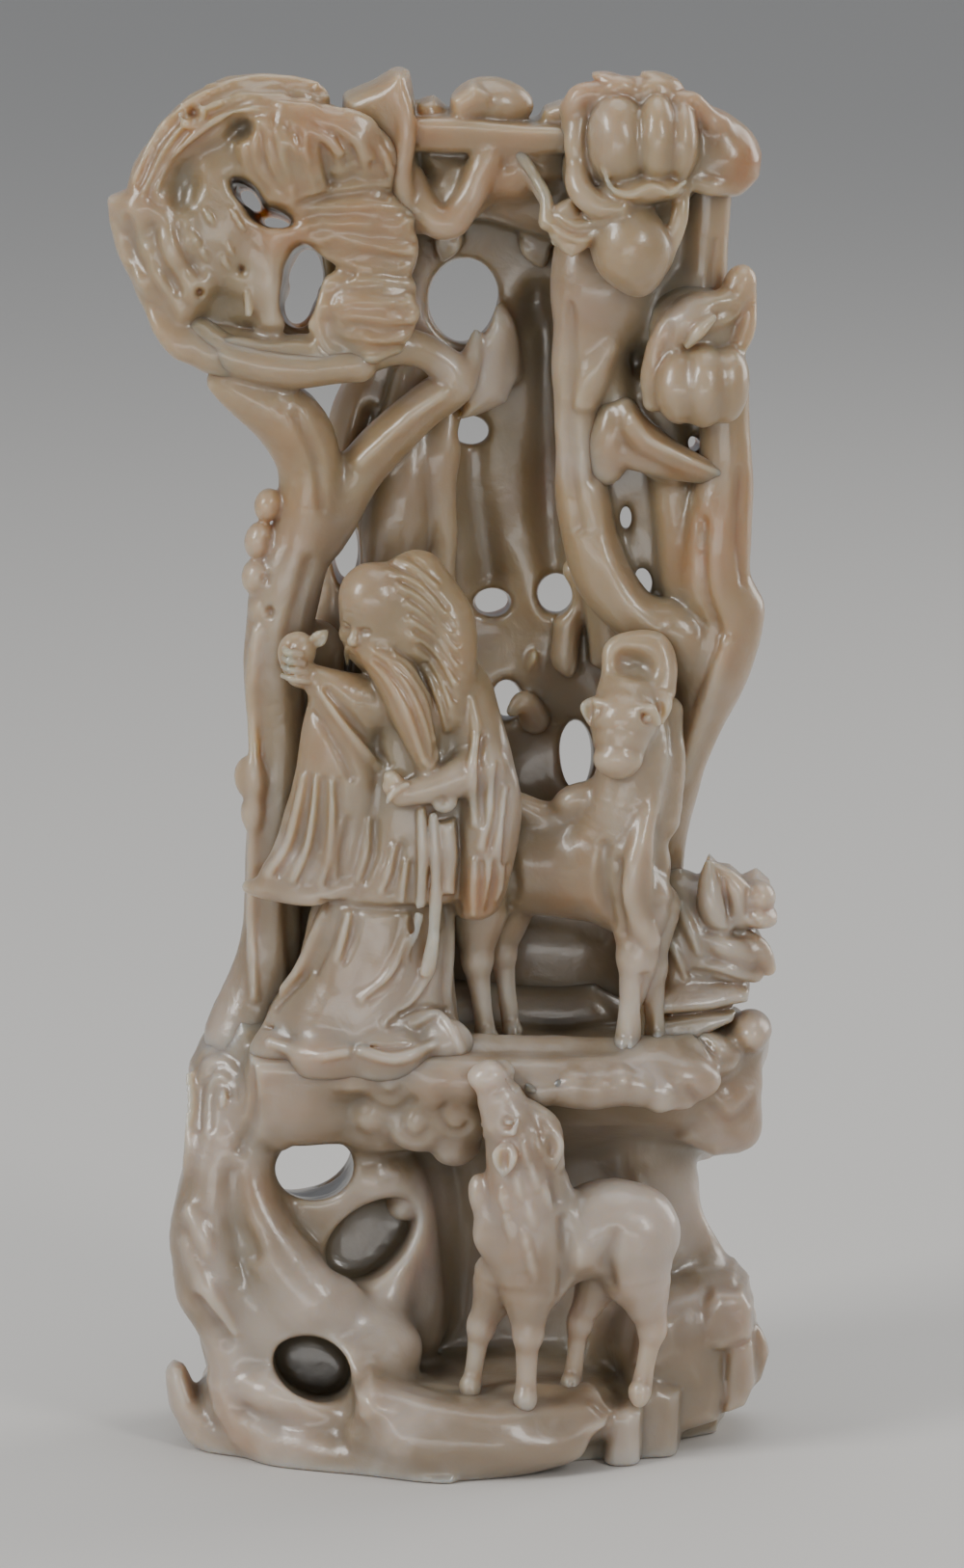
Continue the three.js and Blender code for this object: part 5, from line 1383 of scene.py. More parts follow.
def makeDeerHead(block, brow, muzzle, out, wide, ears):
    # brow and muzzle centres, the way out of the forehead, half the width of the brow
    brow, muzzle = np.array(brow, float), np.array(muzzle, float)
    down = unit(muzzle - brow)
    out = unit(np.array(out, float) - (np.array(out, float) @ down) * down)
    side = np.cross(down, out)
    length = float(np.linalg.norm(muzzle - brow))

    def at(across, along, lift):
        return brow + across * side + along * length * down + lift * out

    block.add(lineAlong(
        at, (0, -0.25, -0.8, wide * 0.92), (0, 0.12, -0.3, wide), (0, 0.5, -0.5, wide * 0.84),
        (0, 0.8, -0.7, wide * 0.66), (0, 1, -0.6, wide * 0.6),
    ), 0.8)
    # the bridge of the nose, the muzzle and the chin
    block.add(lineAlong(
        at, (0, 0.2, wide * 0.55, wide * 0.34), (0, 0.6, wide * 0.32, wide * 0.3),
        (0, 0.95, wide * 0.12, wide * 0.4),
    ), 0.6)
    block.ball(at(0, 1.02, -wide * 0.1), (wide * 0.72, wide * 0.62, wide * 0.5), 0.5)
    block.ball(at(0, 0.92, -wide * 0.72), (wide * 0.46, wide * 0.42, wide * 0.44), 0.5)
    eye = deer["eye"]
    for way in (-1, 1):
        block.cut(lump(at(0.3 * wide * way, 1.14, wide * 0.22), (0.36, 0.42, 0.36)), 0.2)
        block.cut(lump(at(0.78 * wide * way, 0.2, wide * 0.6), (wide * 0.24, wide * 0.22, wide * 0.24)), 0.5)
        block.ball(at(0.72 * wide * way, 0.2, wide * 0.46), (eye, eye, eye * 0.9), 0.15)
        block.add(lineAlong(
            at, (0.42 * wide * way, 0.06, wide * 0.72, wide * 0.12),
            (0.8 * wide * way, 0, wide * 0.56, wide * 0.16), (1.02 * wide * way, 0.2, wide * 0.2, wide * 0.1),
        ), 0.25)
        block.cut(lineAlong(
            at, (0.5 * wide * way, 1.05, wide * -0.3, 0.14), (0.62 * wide * way, 0.84, wide * -0.32, 0.16),
            (0.7 * wide * way, 0.62, wide * -0.3, 0.08),
        ), 0.2)
    block.cut(lineAlong(
        at, (-0.42 * wide, 1.17, wide * -0.3, 0.14), (0, 1.27, wide * -0.26, 0.18),
        (0.42 * wide, 1.17, wide * -0.3, 0.14),
    ), 0.2)
    for root, tip, facing in ears:
        root, tip = np.array(root, float), np.array(tip, float)
        block.add(leaf(root, tip, 3.3, facing, 1.8, 0.4, 0), 0.4)
        middle = root + (tip - root) * 0.5 + unit(facing) * 1.2
        block.cut(lump(middle, (0.62, 0.62, 1.5)), 0.5)


def makeLedgeDeer():
    block = Block((-1, -18, 51), (33, 9, 112), deer["step"])
    # trunk, haunch, shoulder and neck
    block.bar([(5, -1, 78, 7), (10, -1.6, 77.6, 7.3), (16, -2.6, 77.4, 7.4), (21.4, -4.6, 77, 7.4)], 0, 0.9)
    block.addAll([
        lump((3.4, -2, 74), (5.4, 5.4, 7.4), -6), lump((23.6, -5.6, 76.6), (5.6, 6.2, 8.2), 6),
        stroke([(21.8, -5.4, 80, 6), (23.6, -6.6, 86, 5), (24.6, -6.6, 92, 4.5), (24.8, -5.4, 98.6, 3.6)]),
    ], 1.6)
    block.bar([(26.8, -5, 84, 3.8), (28.6, -4, 90, 2.6), (29, -3, 97, 2)], 1.4)
    # the lit muscle from the neck down to the foreleg
    block.bar([
        (26.4, -9.8, 87, 0.8), (25.6, -10.8, 81.8, 2), (25, -11.4, 77.2, 2.3), (25, -11.4, 72.8, 2.1),
        (25.8, -11, 69, 1.9), (26, -10.4, 65, 1.4),
    ], 1.8)
    block.bar([
        (26.4, -11, 85.6, 0.3), (25.2, -12.5, 81.6, 0.8), (24.4, -13.1, 77.6, 1), (24.2, -13, 74.2, 1),
        (25.6, -12.6, 70.8, 1.2), (26.6, -12, 68.6, 1.1),
    ], 1.2)
    block.cut(lump((28.8, -10.4, 79), (1.7, 1.9, 5.4), 4), 1.8)
    makeLeg(block, [(25, -8.2, 73.4), (25, -10.4, 66.4), (23.6, -10.6, 53.6)], 4.6, 2.3)
    makeLeg(block, [(27.4, -6, 72), (27, -8, 64.6), (27.4, -8.8, 53.6)], 3.4, 1.8)
    makeLeg(block, [(4.4, -5, 73), (4.4, -5.4, 65), (5.6, -5.6, 53.6)], 4.6, 1.9)
    makeLeg(block, [(8.4, -1, 73), (7.6, -0.8, 65), (8.9, -1.2, 53.6)], 4.2, 1.7)
    makeDeerHead(block, (23.3, -9.4, 98), (22.4, -12.4, 92.9), (-0.1, -0.9, 0.45), 4.5, [
        ((20, -9.4, 100.2), (18.7, -10.6, 96.4), (-0.5, -1, 0.2)),
        ((26.8, -8.8, 100.6), (28.2, -9.6, 96.4), (0.4, -1, 0.2)),
    ])
    # antlers in velvet, low and joined at the top
    block.ball((25.2, -5.4, 103.4), (3.9, 2.6, 4), 1)
    block.bar([
        (21.7, -7.8, 100.4, 1.3), (21.5, -6.8, 103.2, 1.1), (21.9, -6.2, 105.9, 1.3),
        (24.2, -5.8, 106.7, 1.3), (27.4, -6, 106.4, 1.5), (28.4, -6.6, 103.6, 1.6), (28.2, -7.4, 100.6, 1.7),
    ], 1.6)
    block.cut(lump((24.6, -8.4, 104.2), (2.4, 2, 1.5), 14), 1.2)
    # the tail laid over the back and the tuft at the neck
    block.bar([(6.4, -5.4, 86.4, 1.8), (10, -5.4, 84.8, 1.8), (14, -5.4, 83.8, 1.6), (18, -6, 84.6, 1.6)], 2)
    block.ball((17.6, -6.4, 86.6), (3.4, 2.2, 1.7), 1.4, -20)
    block.grooves([
        [(21.6, 71, 0.5), (20.6, 76, 0.8), (20.8, 81, 0.5)],
        [(23.2, 70, 0.4), (22.4, 74, 0.6), (22.6, 79, 0.5)], [(8.6, 72, 0.4), (9.2, 75, 0.7), (8.6, 79, 0.5)],
        [(25.9, 64, 0.3), (26.2, 58, 0.5), (26.4, 55, 0.3)],
    ], 0.1, 1.2)
    block.undulate(1.5, 3.6, 61)
    block.undulate(0.5, 1.4, 62)
    return block


def makeCaveDeer():
    block = Block((-2, -25.4, 7), (34, -6, 58), deer["step"])
    # barrel, haunch, chest and the long upright neck
    block.bar([
        (12, -16, 29.4, 6.2), (16.4, -15.6, 30.4, 6), (21, -15.2, 31.6, 6.4), (24.2, -15, 31, 6.4),
    ], 0, 0.92)
    block.ball((24.6, -14.8, 28.4), (4.8, 5.2, 7.2), 1.4, 8)
    block.ball((11.4, -17, 28.6), (5.8, 5.4, 7.6), 1.4, -6)
    block.bar([
        (11.8, -16.6, 31, 5.8), (10.8, -17.4, 36, 5.2), (10.4, -17.8, 40.6, 4.9), (9.9, -18, 44.6, 4.6),
    ], 1.6)
    block.bar([(14.4, -17.6, 38, 1.6), (16.2, -18.4, 32.6, 2), (17, -19.4, 29.4, 2.4)], 1.6)
    makeLeg(block, [(11, -18.4, 25), (10.9, -19.4, 18.6), (10.6, -19.2, 9)], 4, 1.75)
    makeLeg(block, [(7.6, -15.4, 25), (4.9, -14.8, 18.6), (3.4, -14.8, 9.6)], 3.8, 1.65)
    makeLeg(block, [(25.4, -15.6, 25.6), (27, -15.4, 18.4), (25.4, -15.6, 9)], 4.2, 1.7)
    makeLeg(block, [(20.6, -12.8, 25.4), (17.7, -11.6, 18.2), (16.6, -11.8, 9)], 3.4, 1.5)
    makeDeerHead(block, (8.7, -19.4, 46), (5.6, -20, 52.2), (-0.78, -0.62, -0.2), 3.6, [
        ((8.6, -22, 45), (7.6, -22.6, 39.6), (-0.3, -1, 0)),
        ((12.8, -20.6, 47), (14.2, -21.2, 40.4), (0.5, -1, 0)),
    ])
    # the stubs behind the ears, the tufts at the throat and the tail
    block.bar([(11.2, -19.4, 47.6, 1.6), (13.4, -19.6, 45.8, 1.7), (14.2, -19.2, 41, 1.4)], 0.7)
    block.ball((5, -17.2, 36.2), (1.7, 1.8, 3), 1.4, -14)
    block.ball((6.1, -18.2, 31.8), (2.2, 2, 3.2), 1.6)
    block.ball((29, -14.8, 30.4), (1.5, 1.5, 2.8), 0.6, 8)
    tufts = [[(x, z, 0.25), (x + 0.3, z - 1.3, 0.45), (x + 0.7, z - 2.6, 0.2)] for x, z in (
        (10.2, 44.4), (12, 45.6), (13.4, 42.6), (11.4, 41.2), (9.4, 39.8), (13, 38.6), (7.4, 38.2),
        (10.9, 36.4), (8.2, 34.4), (10.4, 32.6), (11.2, 29.4),
    )]
    block.ridges(tufts, -0.1, 0.8)
    block.grooves([
        [(15.4, 24.6, 0.4), (15.9, 29, 0.8), (15.4, 34, 0.5)],
        [(21.6, 25, 0.4), (21.2, 28.4, 0.7), (22.2, 32, 0.4)],
        [(14.6, 36.6, 0.3), (13.8, 41, 0.4), (12.8, 45, 0.3)],
    ], 0.1, 1.3)
    block.undulate(1.3, 3.6, 71)
    block.undulate(0.5, 1.4, 72)
    return block


# The fungus at the right of the ledge

fungus = {
    "step": 0.3,  # mm, the fineness of this block
}


def makeFungus():
    block = Block((25, -11, 50), (45, 12, 82), fungus["step"])
    block.bar([(30, 1.4, 52, 6.4), (31.4, 1.4, 60, 6.2), (31.6, 1, 67, 5.4), (30.4, 0, 72, 3.8)], 0)
    block.ball((33, -0.8, 66), (5.4, 5, 8.4), 1.6, 10)
    block.slab([
        (28.6, 57), (28.6, 68), (31, 72), (33.5, 72.9), (33.8, 75.3), (34.5, 77.6), (35.6, 76.2),
        (37.1, 75.9), (38.75, 74.3), (40.7, 74.9), (42.4, 73.6), (43.1, 71.3), (42.8, 69.2), (40.4, 68.6),
        (42, 65.6), (42.9, 63.9), (42.6, 62.6), (39.8, 62.2), (40.1, 59.9), (38.1, 58.2), (37.3, 57.2),
    ], -3.6, 5, 1.2, 0.8, slope=(0.3, 0.12))
    # the folded leaf and the lobes right of it
    block.addAll([
        stroke([
            (34.3, -4, 77.2, 0.5), (34.4, -4.8, 74.6, 1.4), (34.8, -5, 71.8, 1.8), (36, -4.6, 69.2, 1.7),
        ]),
        stroke([
            (34.8, -3.6, 77, 0.5), (37, -3.8, 74.9, 1.5), (38.4, -3.6, 72.6, 2), (38.4, -3.4, 70.4, 1.9),
        ]),
        lump((36.4, -1.4, 72), (3.2, 3.4, 4.2), -16), lump((40.9, -2, 72.6), (2.1, 3.2, 2.3), 24),
        lump((40.4, -2.2, 70.2), (2.9, 3.6, 1.6), 10),
    ], 0.45)
    # the leaves below them
    block.addAll([
        stroke([(33.6, -4.4, 68.2, 1.3), (36.4, -4.6, 66.6, 1.9), (39.4, -3.8, 65.2, 1.4)]),
        stroke([(38, -3, 67.6, 1.2), (40.4, -2.8, 65.6, 1.9), (42.2, -2.2, 63.2, 1.1)]),
        stroke([(33.4, -4.6, 64.2, 1.3), (36.8, -4.6, 63.4, 1.5), (40.4, -3, 62.6, 1.2)]),
        lump((36.8, -1.6, 65.4), (4.8, 4, 3.2), 16),
    ], 0.45)
    # two thin slabs
    block.slab([
        (27, 60.2), (31, 63), (38, 62.2), (40.2, 60.8), (39.8, 58.8), (35, 58), (27, 57.6),
    ], -6.2, 8, 0.9, 0.6, slope=(0.22, 0.5))
    block.slab([
        (27, 57.6), (34, 58.2), (38.4, 58.2), (37.8, 56.4), (33, 54.6), (27, 54.4),
    ], -7.4, 8, 0.9, 0.6, slope=(0.2, 0.4))
    block.grooves([
        [(36.3, 75.4, 0.3), (36.8, 72, 0.5), (37.2, 69.4, 0.3)],
        [(39.4, 74, 0.3), (39.4, 71.6, 0.5), (40.4, 69.6, 0.3)],
        [(34, 68.8, 0.3), (36.8, 68.4, 0.5), (40, 67.8, 0.3)],
        [(31, 63.4, 0.3), (35.4, 62.8, 0.5), (39.6, 61.4, 0.3)],
    ], 0.2, 0.5)
    block.ridges([
        [(30.6, 71.6, 0.4), (32, 68.8, 0.6), (33, 66, 0.4)],
        [(28.8, 68, 0.4), (30.4, 65.2, 0.6), (31.4, 62.6, 0.4)],
    ], 0.1, 0.8)
    block.undulate(1.3, 3, 81)
    block.undulate(7, 4, 82, behind=-4)
    return block


# Carving each block into its mesh

carving = {
    "band": 3.0,          # grid steps kept on each side of the face
    "leastPart": 6.0,     # cubic mm, smaller crumbs are dropped
    "hollowFrom": 0.15,   # share of stone round a place from which it counts as a hollow and gets painted shade
    "hollowSpan": 0.5,    # and how much more makes a full one
    "contrast": 2.6,      # how soon an edge's painted highlight or a groove's painted shade counts in full
    "coarseStep": 1.5,    # mm, the grid for the painted shade in the hollows
    "coarseRoom": 4,      # mm, what that grid keeps free round the box
    "coarseBlur": (3, 2),  # cells of that grid on each side, for its first and its second blur
    "hollowReach": 2.6,   # mm out of the face, where that painted shade is read
    "edgeAndGrooveReach": 1.6,     # mm, the size of an edge or a groove that gets painted highlight or painted shade
}


def boxBlur(field, cells):
    for axis in range(3):
        padded = np.concatenate([
            np.repeat(np.take(field, [0], axis), cells + 1, axis), field,
            np.repeat(np.take(field, [-1], axis), cells, axis),
        ], axis)
        total = np.cumsum(padded, axis, dtype=np.float32)
        count = field.shape[axis]
        top = np.take(total, range(2 * cells + 1, 2 * cells + 1 + count), axis)
        field = (top - np.take(total, range(count), axis)) / (2 * cells + 1)
    return field


def readAt(field, start, step, points):
    # the field's value at each point, blended between its cells
    place = np.clip((points - start) / step, 0, np.array(field.shape) - 1.001)
    cell = place.astype(int)
    part = place - cell
    value = np.zeros(len(points))
    for corner in range(8):
        up = np.array([corner & 1, corner >> 1 & 1, corner >> 2 & 1])
        share = np.prod(np.where(up, part, 1 - part), 1)
        i, j, k = (cell + up).T
        value += share * field[i, j, k]
    return value


def wholeParts(points, quads):
    # leaves out crumbs and the walls of closed voids
    label = np.arange(len(points))
    edges = np.vstack([quads[:, [0, 1]], quads[:, [1, 2]], quads[:, [2, 3]]])
    while True:
        before = label.copy()
        low = np.minimum(label[edges[:, 0]], label[edges[:, 1]])
        np.minimum.at(label, edges[:, 0], low)
        np.minimum.at(label, edges[:, 1], low)
        label = label[label[label]]
        if (label == before).all():
            break
    a, b, c, d = (points[quads[:, i]] for i in range(4))
    pyramids = (np.einsum("ij,ij->i", a, np.cross(b, c)) + np.einsum("ij,ij->i", a, np.cross(c, d))) / 6
    volume = np.bincount(label[quads[:, 0]], pyramids, len(points))
    kept = quads[volume[label[quads[:, 0]]] > carving["leastPart"]]
    used = np.unique(kept)
    renumbered = np.zeros(len(points), int)
    renumbered[used] = np.arange(len(used))
    return points[used], renumbered[kept]


def placed(name, data):
    made = bpy.data.objects.new(name, data)
    bpy.context.scene.collection.objects.link(made)
    return made


def takeIn(piece):
    # the piece's mesh becomes what its modifiers make of it
    evaluated = piece.evaluated_get(bpy.context.evaluated_depsgraph_get())
    piece.data = bpy.data.meshes.new_from_object(evaluated)
    piece.modifiers.clear()


def meshFrom(name, block, mostTriangles):
    start = np.array([axis[0] for axis in block.axes])
    band = carving["band"] * block.step
    grid = openvdb.FloatGrid(band)
    grid.copyFromArray(np.clip(block.gap, -band, band))
    points, _, quads = grid.convertToPolygons(isovalue=0, adaptivity=0)
    points, quads = wholeParts(start + points * block.step, quads.astype(int))
    mesh = bpy.data.meshes.new(name)
    mesh.vertices.add(len(points))
    mesh.vertices.foreach_set("co", ((points + toFrame) * grain).astype(np.float32).ravel())
    mesh.loops.add(quads.size)
    mesh.loops.foreach_set("vertex_index", quads.astype(np.int32).ravel())
    mesh.polygons.add(len(quads))
    mesh.polygons.foreach_set("loop_start", np.arange(len(quads), dtype=np.int32) * 4)
    mesh.update(calc_edges=True)
    piece = placed(name, mesh)
    if 2 * len(quads) > mostTriangles:
        thinning = piece.modifiers.new("thinning", "DECIMATE")
        thinning.ratio = mostTriangles / (2 * len(quads))
        takeIn(piece)
    piece.data.name = name
    piece.data.shade_smooth()
    return piece


def addMask(mesh, name, values):
    mask = mesh.attributes.new(name, "FLOAT", "POINT")
    mask.data.foreach_set("value", np.clip(values, 0, 1).astype(np.float32))


def spots(points, balls):
    # soft balls of x, y, z, radius and strength, which fade out past their radius
    mask = np.zeros(len(points))
    for x, y, z, radius, strength in balls:
        away = np.linalg.norm(points - np.array((x, y, z)), axis=1) / radius
        mask = np.maximum(mask, strength * np.clip(1.35 - away, 0, 1) ** 1.5)
    return mask


# Where the pebble's warm skin and its greener heart show
skinSpots = [
    # pine crown and crest
    (-17, -9, 170, 10, 0.75), (-10, -9, 160, 9, 0.65), (-9, -9, 149, 8, 0.4), (-20, -6, 160, 7, 0.8),
    (-33, -8, 171, 8, 0.55), (-36, -6, 166, 6, 0.5), (-4, -5, 170, 9, 0.9), (8, -2, 167, 8, 0.8),
    (1, -4, 162, 5, 0.6), (16, -3, 166, 6, 0.6), (-30, -5, 150, 8, 0.3), (-22, -5, 143, 7, 0.25),
    # peach crown and its trunks
    (20, -7, 178, 8, 0.55), (33, -5, 175, 7, 0.8), (39.4, -4, 167.6, 6, 1), (31, -5, 171, 5, 0.35),
    (19, -6, 157, 6, 0.35), (20, 0, 150, 7, 0.6), (28, -5, 145, 6, 0.4), (25, -3, 132, 7, 0.5),
    (33, -2, 119, 9, 0.8), (31, -3, 127, 6, 0.6), (37.6, -3, 124, 7, 0.4), (34, -3, 106, 7, 0.5),
    (24, 2, 122, 6, 0.5), (-19, -5, 122, 8, 0.45), (-21, -5, 132, 8, 0.3), (-4, 4, 130, 10, 0.35),
    (14, 6, 125, 9, 0.35),
    # elder
    (-6, -15, 104, 6, 0.4), (-2.6, -15, 99, 6, 0.4), (0, -14, 106, 5, 0.35), (-11, -14, 104, 4, 0.4),
    (4.4, -13, 75, 6, 0.7), (6.4, -12, 79, 5, 0.4), (-15, -13, 95, 7, 0.3), (-12, -13, 78, 8, 0.25),
    (-9, -13, 64, 9, 0.25), (-8, -12, 118, 5, 0.25),
    # deer and ledge
    (17.6, -8, 71.4, 7, 0.6), (9, -6, 70, 6, 0.35), (22, -6, 88, 6, 0.3), (6.4, -21, 41, 9, 0.4),
    (8, -21, 30, 8, 0.35), (20, -19, 24, 6, 0.35), (36, -6, 44, 9, 0.5), (39, -4, 40, 6, 0.45),
    (33, -10, 47, 7, 0.4), (-27, -10, 44, 6, 0.25), (-14, -14, 53, 9, 0.4), (2, -16, 50, 7, 0.4),
    (30, -3, 60, 7, 0.3), (41, -4, 72, 5, 0.35), (14, -12, 12, 10, 0.3), (36, -4, 14, 8, 0.3),
    # the spot low on the left foot makes its petals darker and warmer
    (-24, -10, 36, 7, 0.3), (-28, -14, 4, 9, 0.5), (-18, -18, 5, 7, 0.3), (14, -9, 80, 8, 0.4),
    (-19, -13, 49, 8, 0.4), (24, 0, 16, 7, 0.2),
]
greenSpots = [
    (-33.4, -4, 165, 6, 0.4), (-28, -4, 149.6, 6, 0.6), (-14, 2, 145, 8, 0.4), (10, 8, 130, 7, 0.5),
    (14, 8, 118, 6, 0.4), (-14, 0, 162, 6, 0.4), (0, -6, 12, 12, 0.15),
]


def colourMasks(piece, block, nearby):
    # the masks that the stone's colour follows, one value for each point of the mesh: painted shade in
    # hollows and grooves, a painted highlight on edges, and the skin and green patches
    mesh = piece.data
    count = len(mesh.vertices)
    places, normals = np.empty(3 * count, np.float32), np.empty(3 * count, np.float32)
    mesh.vertices.foreach_get("co", places)
    mesh.vertex_normals.foreach_get("vector", normals)
    points = places.reshape(-1, 3) / grain - toFrame
    normals = normals.reshape(-1, 3)
    # painted shade in the hollows, from how much stone stands round each place just out of the face
    hollow_shade = readAt(nearby, coarseStart, carving["coarseStep"], points + carving["hollowReach"] * normals)
    addMask(mesh, "hollow_shade", (hollow_shade - carving["hollowFrom"]) / carving["hollowSpan"])
    # painted highlight on edges and painted shade in grooves, read from the relief smoothed round each point
    reach = carving["edgeAndGrooveReach"]
    soft = boxBlur(np.clip(block.gap, -reach, reach), max(1, round(reach / block.step)))
    relief = readAt(soft, np.array([axis[0] for axis in block.axes]), block.step, points) / reach
    addMask(mesh, "edge_highlight", relief * carving["contrast"])
    addMask(mesh, "groove_shade", -relief * carving["contrast"])
    addMask(mesh, "skin", spots(points, skinSpots))
    addMask(mesh, "green", spots(points, greenSpots))


# each piece's name, its maker and its most triangles
plan = [
    ("lower_rocks", makeLowerRocks, 188000), ("cliff_and_trunks", makeCliff, 188000),
    ("pine_crown", makePineCrown, 150000), ("peach_crown", makePeachCrown, 110000),
    ("elder", makeElder, 150000), ("ledge_deer", makeLedgeDeer, 80000),
    ("cave_deer", makeCaveDeer, 60000), ("fungus", makeFungus, 36000),
]
coarseStart = boxLow - carving["coarseRoom"]
coarseEnd = boxHigh + carving["coarseRoom"]
coarseAxes = [np.arange(a, b, carving["coarseStep"]) for a, b in zip(coarseStart, coarseEnd)]
filled = np.zeros([len(axis) for axis in coarseAxes], np.float32)
blocks = {}
for name, make, most in plan:
    block = blocks[name] = make()
    block.keepInside(boxLow, boxHigh)
    nearest = [np.round((c - a[0]) / block.step).astype(int) for c, a in zip(coarseAxes, block.axes)]
    valid = [(n >= 0) & (n < len(a)) for n, a in zip(nearest, block.axes)]
    inside = block.gap[np.ix_(*(n[v] for n, v in zip(nearest, valid)))] < 0
    where = np.ix_(*(np.flatnonzero(v) for v in valid))
    filled[where] = np.maximum(filled[where], inside)
    print("made", name, round(time.time() - started, 1), "s")
nearby = filled  # the share of stone in the centimetre or so round each place
for cells in carving["coarseBlur"]:
    nearby = boxBlur(nearby, cells)

stonePieces = []
for name, make, most in plan:
    piece = meshFrom(name, blocks[name], most)
    colourMasks(piece, blocks[name], nearby)
    stonePieces.append(piece)
    print("carved", name, len(piece.data.polygons), "faces", round(time.time() - started, 1), "s")


# The stone itself: milky, lightly clouded, with a warm skin and a high polish

jade = {
    "pale": (0.400, 0.343, 0.293, 1),
    "cloud": (0.241, 0.186, 0.130, 1),
    "honey": (0.295, 0.218, 0.121, 1),    # the yellower stone of the upper half
    "honeyFrom": 0.05,    # metres up, where it starts
    "honeyFull": 0.12,
    "skin": (0.300, 0.160, 0.070, 1),
    "green": (0.170, 0.145, 0.055, 1),
    "shade": (0.216, 0.159, 0.089, 1),    # painted shade, where the stone turns inwards into hollows and grooves
    "deep": (0.150, 0.120, 0.080, 1),     # painted deeper shade in the hollows
    # paler veins in the stone, also used for the painted highlight on edges
    "vein": (0.530, 0.488, 0.455, 1),
    "cloudSize": 46.0,    # clouds in each metre
    "roughness": 0.32,
    "bending": 1.61,      # index of refraction
    "milkiness": 0.9,     # share of the light that scatters in the stone
    "gloss": 0.32,        # weight of the polish
    "glossRoughness": 0.07,
    "wear": 0.0007,       # metres, the unevenness left by the polishing
    "scatter": (0.0105, 0.0066, 0.0036),  # metres that red, green and blue go into the stone
}


def setInputs(node, values):
    for name, value in values.items():
        node.inputs[name].default_value = value


def jadeMaterial():
    made = bpy.data.materials.new("jade")
    made.use_nodes = True
    tree = made.node_tree
    nodes, links = tree.nodes, tree.links
    surface = nodes["Principled BSDF"]
    place = nodes.new("ShaderNodeTexCoord").outputs["Object"]

    def mask(name):
        node = nodes.new("ShaderNodeAttribute")
        node.attribute_name = name
        return node.outputs["Fac"]

    def noise(size, detail, warp=0.0):
        node = nodes.new("ShaderNodeTexNoise")
        setInputs(node, {"Scale": size, "Detail": detail, "Distortion": warp})
        links.new(place, node.inputs["Vector"])
        return node.outputs["Fac"]

    def ramp(value, low, high, top=1.0):
        node = nodes.new("ShaderNodeMapRange")
        node.interpolation_type = "SMOOTHSTEP"
        setInputs(node, {"From Min": low, "From Max": high, "To Max": top})
        links.new(value, node.inputs["Value"])
        return node.outputs["Result"]

    def times(a, b):
        node = nodes.new("ShaderNodeMath")
        node.operation = "MULTIPLY"
        node.use_clamp = True
        links.new(a, node.inputs[0])
        links.new(b, node.inputs[1])
        return node.outputs["Value"]

    def mixed(share, before, after):
        node = nodes.new("ShaderNodeMix")
        node.data_type = "RGBA"
        links.new(share, node.inputs["Factor"])
        for value, socket in ((before, node.inputs["A"]), (after, node.inputs["B"])):
            if isinstance(value, tuple):
                socket.default_value = value
            else:
                links.new(value, socket)
        return node.outputs["Result"]

    # clouds in the stone, then whiter veins and a painted highlight on the edges
    clouds = noise(jade["cloudSize"], 3, 0.6)
    colour = mixed(ramp(clouds, 0.34, 0.62), jade["pale"], jade["cloud"])
    high = nodes.new("ShaderNodeSeparateXYZ")
    links.new(place, high.inputs["Vector"])
    upper = ramp(high.outputs["Z"], jade["honeyFrom"], jade["honeyFull"], 0.88)
    colour = mixed(ramp(noise(24, 4, 1.4), 0.54, 0.7, 0.45), colour, jade["vein"])
    colour = mixed(ramp(mask("edge_highlight"), 0.1, 0.9, 0.3), colour, jade["vein"])
    # the yellow upper stone, the green heart and the skin, each in patches
    colour = mixed(times(upper, ramp(noise(34, 3, 0.8), 0.24, 0.56)), colour, jade["honey"])
    colour = mixed(times(mask("green"), ramp(noise(70, 2), 0.25, 0.6)), colour, jade["green"])
    colour = mixed(times(mask("skin"), ramp(noise(110, 4, 0.8), 0.2, 0.62)), colour, jade["skin"])
    # painted shade in hollows and grooves, then the painted highlight on edges once more
    colour = mixed(ramp(mask("hollow_shade"), 0.02, 0.6, 0.6), colour, jade["shade"])
    colour = mixed(ramp(mask("hollow_shade"), 0.4, 1.0, 0.65), colour, jade["deep"])
    colour = mixed(ramp(mask("groove_shade"), 0.05, 0.9, 0.42), colour, jade["shade"])
    colour = mixed(ramp(mask("edge_highlight"), 0.1, 0.9, 0.16), colour, jade["vein"])
    links.new(colour, surface.inputs["Base Color"])
    setInputs(surface, {
        "Roughness": jade["roughness"], "IOR": jade["bending"], "Subsurface Weight": jade["milkiness"],
        "Subsurface Radius": jade["scatter"], "Subsurface Scale": 1.0, "Coat Weight": jade["gloss"],
        "Coat Roughness": jade["glossRoughness"],
    })
    uneven = nodes.new("ShaderNodeBump")
    setInputs(uneven, {"Strength": 0.4, "Distance": jade["wear"]})
    links.new(noise(210, 4, 0.4), uneven.inputs["Height"])
    links.new(uneven.outputs["Normal"], surface.inputs["Normal"])
    return made


jadeStone = jadeMaterial()


# The row of small lumps in the ledge's rough edge

ledgeEdge = {
    "path": [
        (11.6, -16.9, 50.4), (16, -17.2, 50.6), (21, -16.9, 50.9), (25.6, -15.9, 49.8), (29.4, -14.4, 48.6),
    ],
    "count": 10,      # lumps along the path
    "size": 0.0013,   # metres
    "least": (1.2, 0.8, 0.8),  # times the size, along the edge and across it
    "most": (1.8, 1.0, 1.3),
    "seed": 4,
}


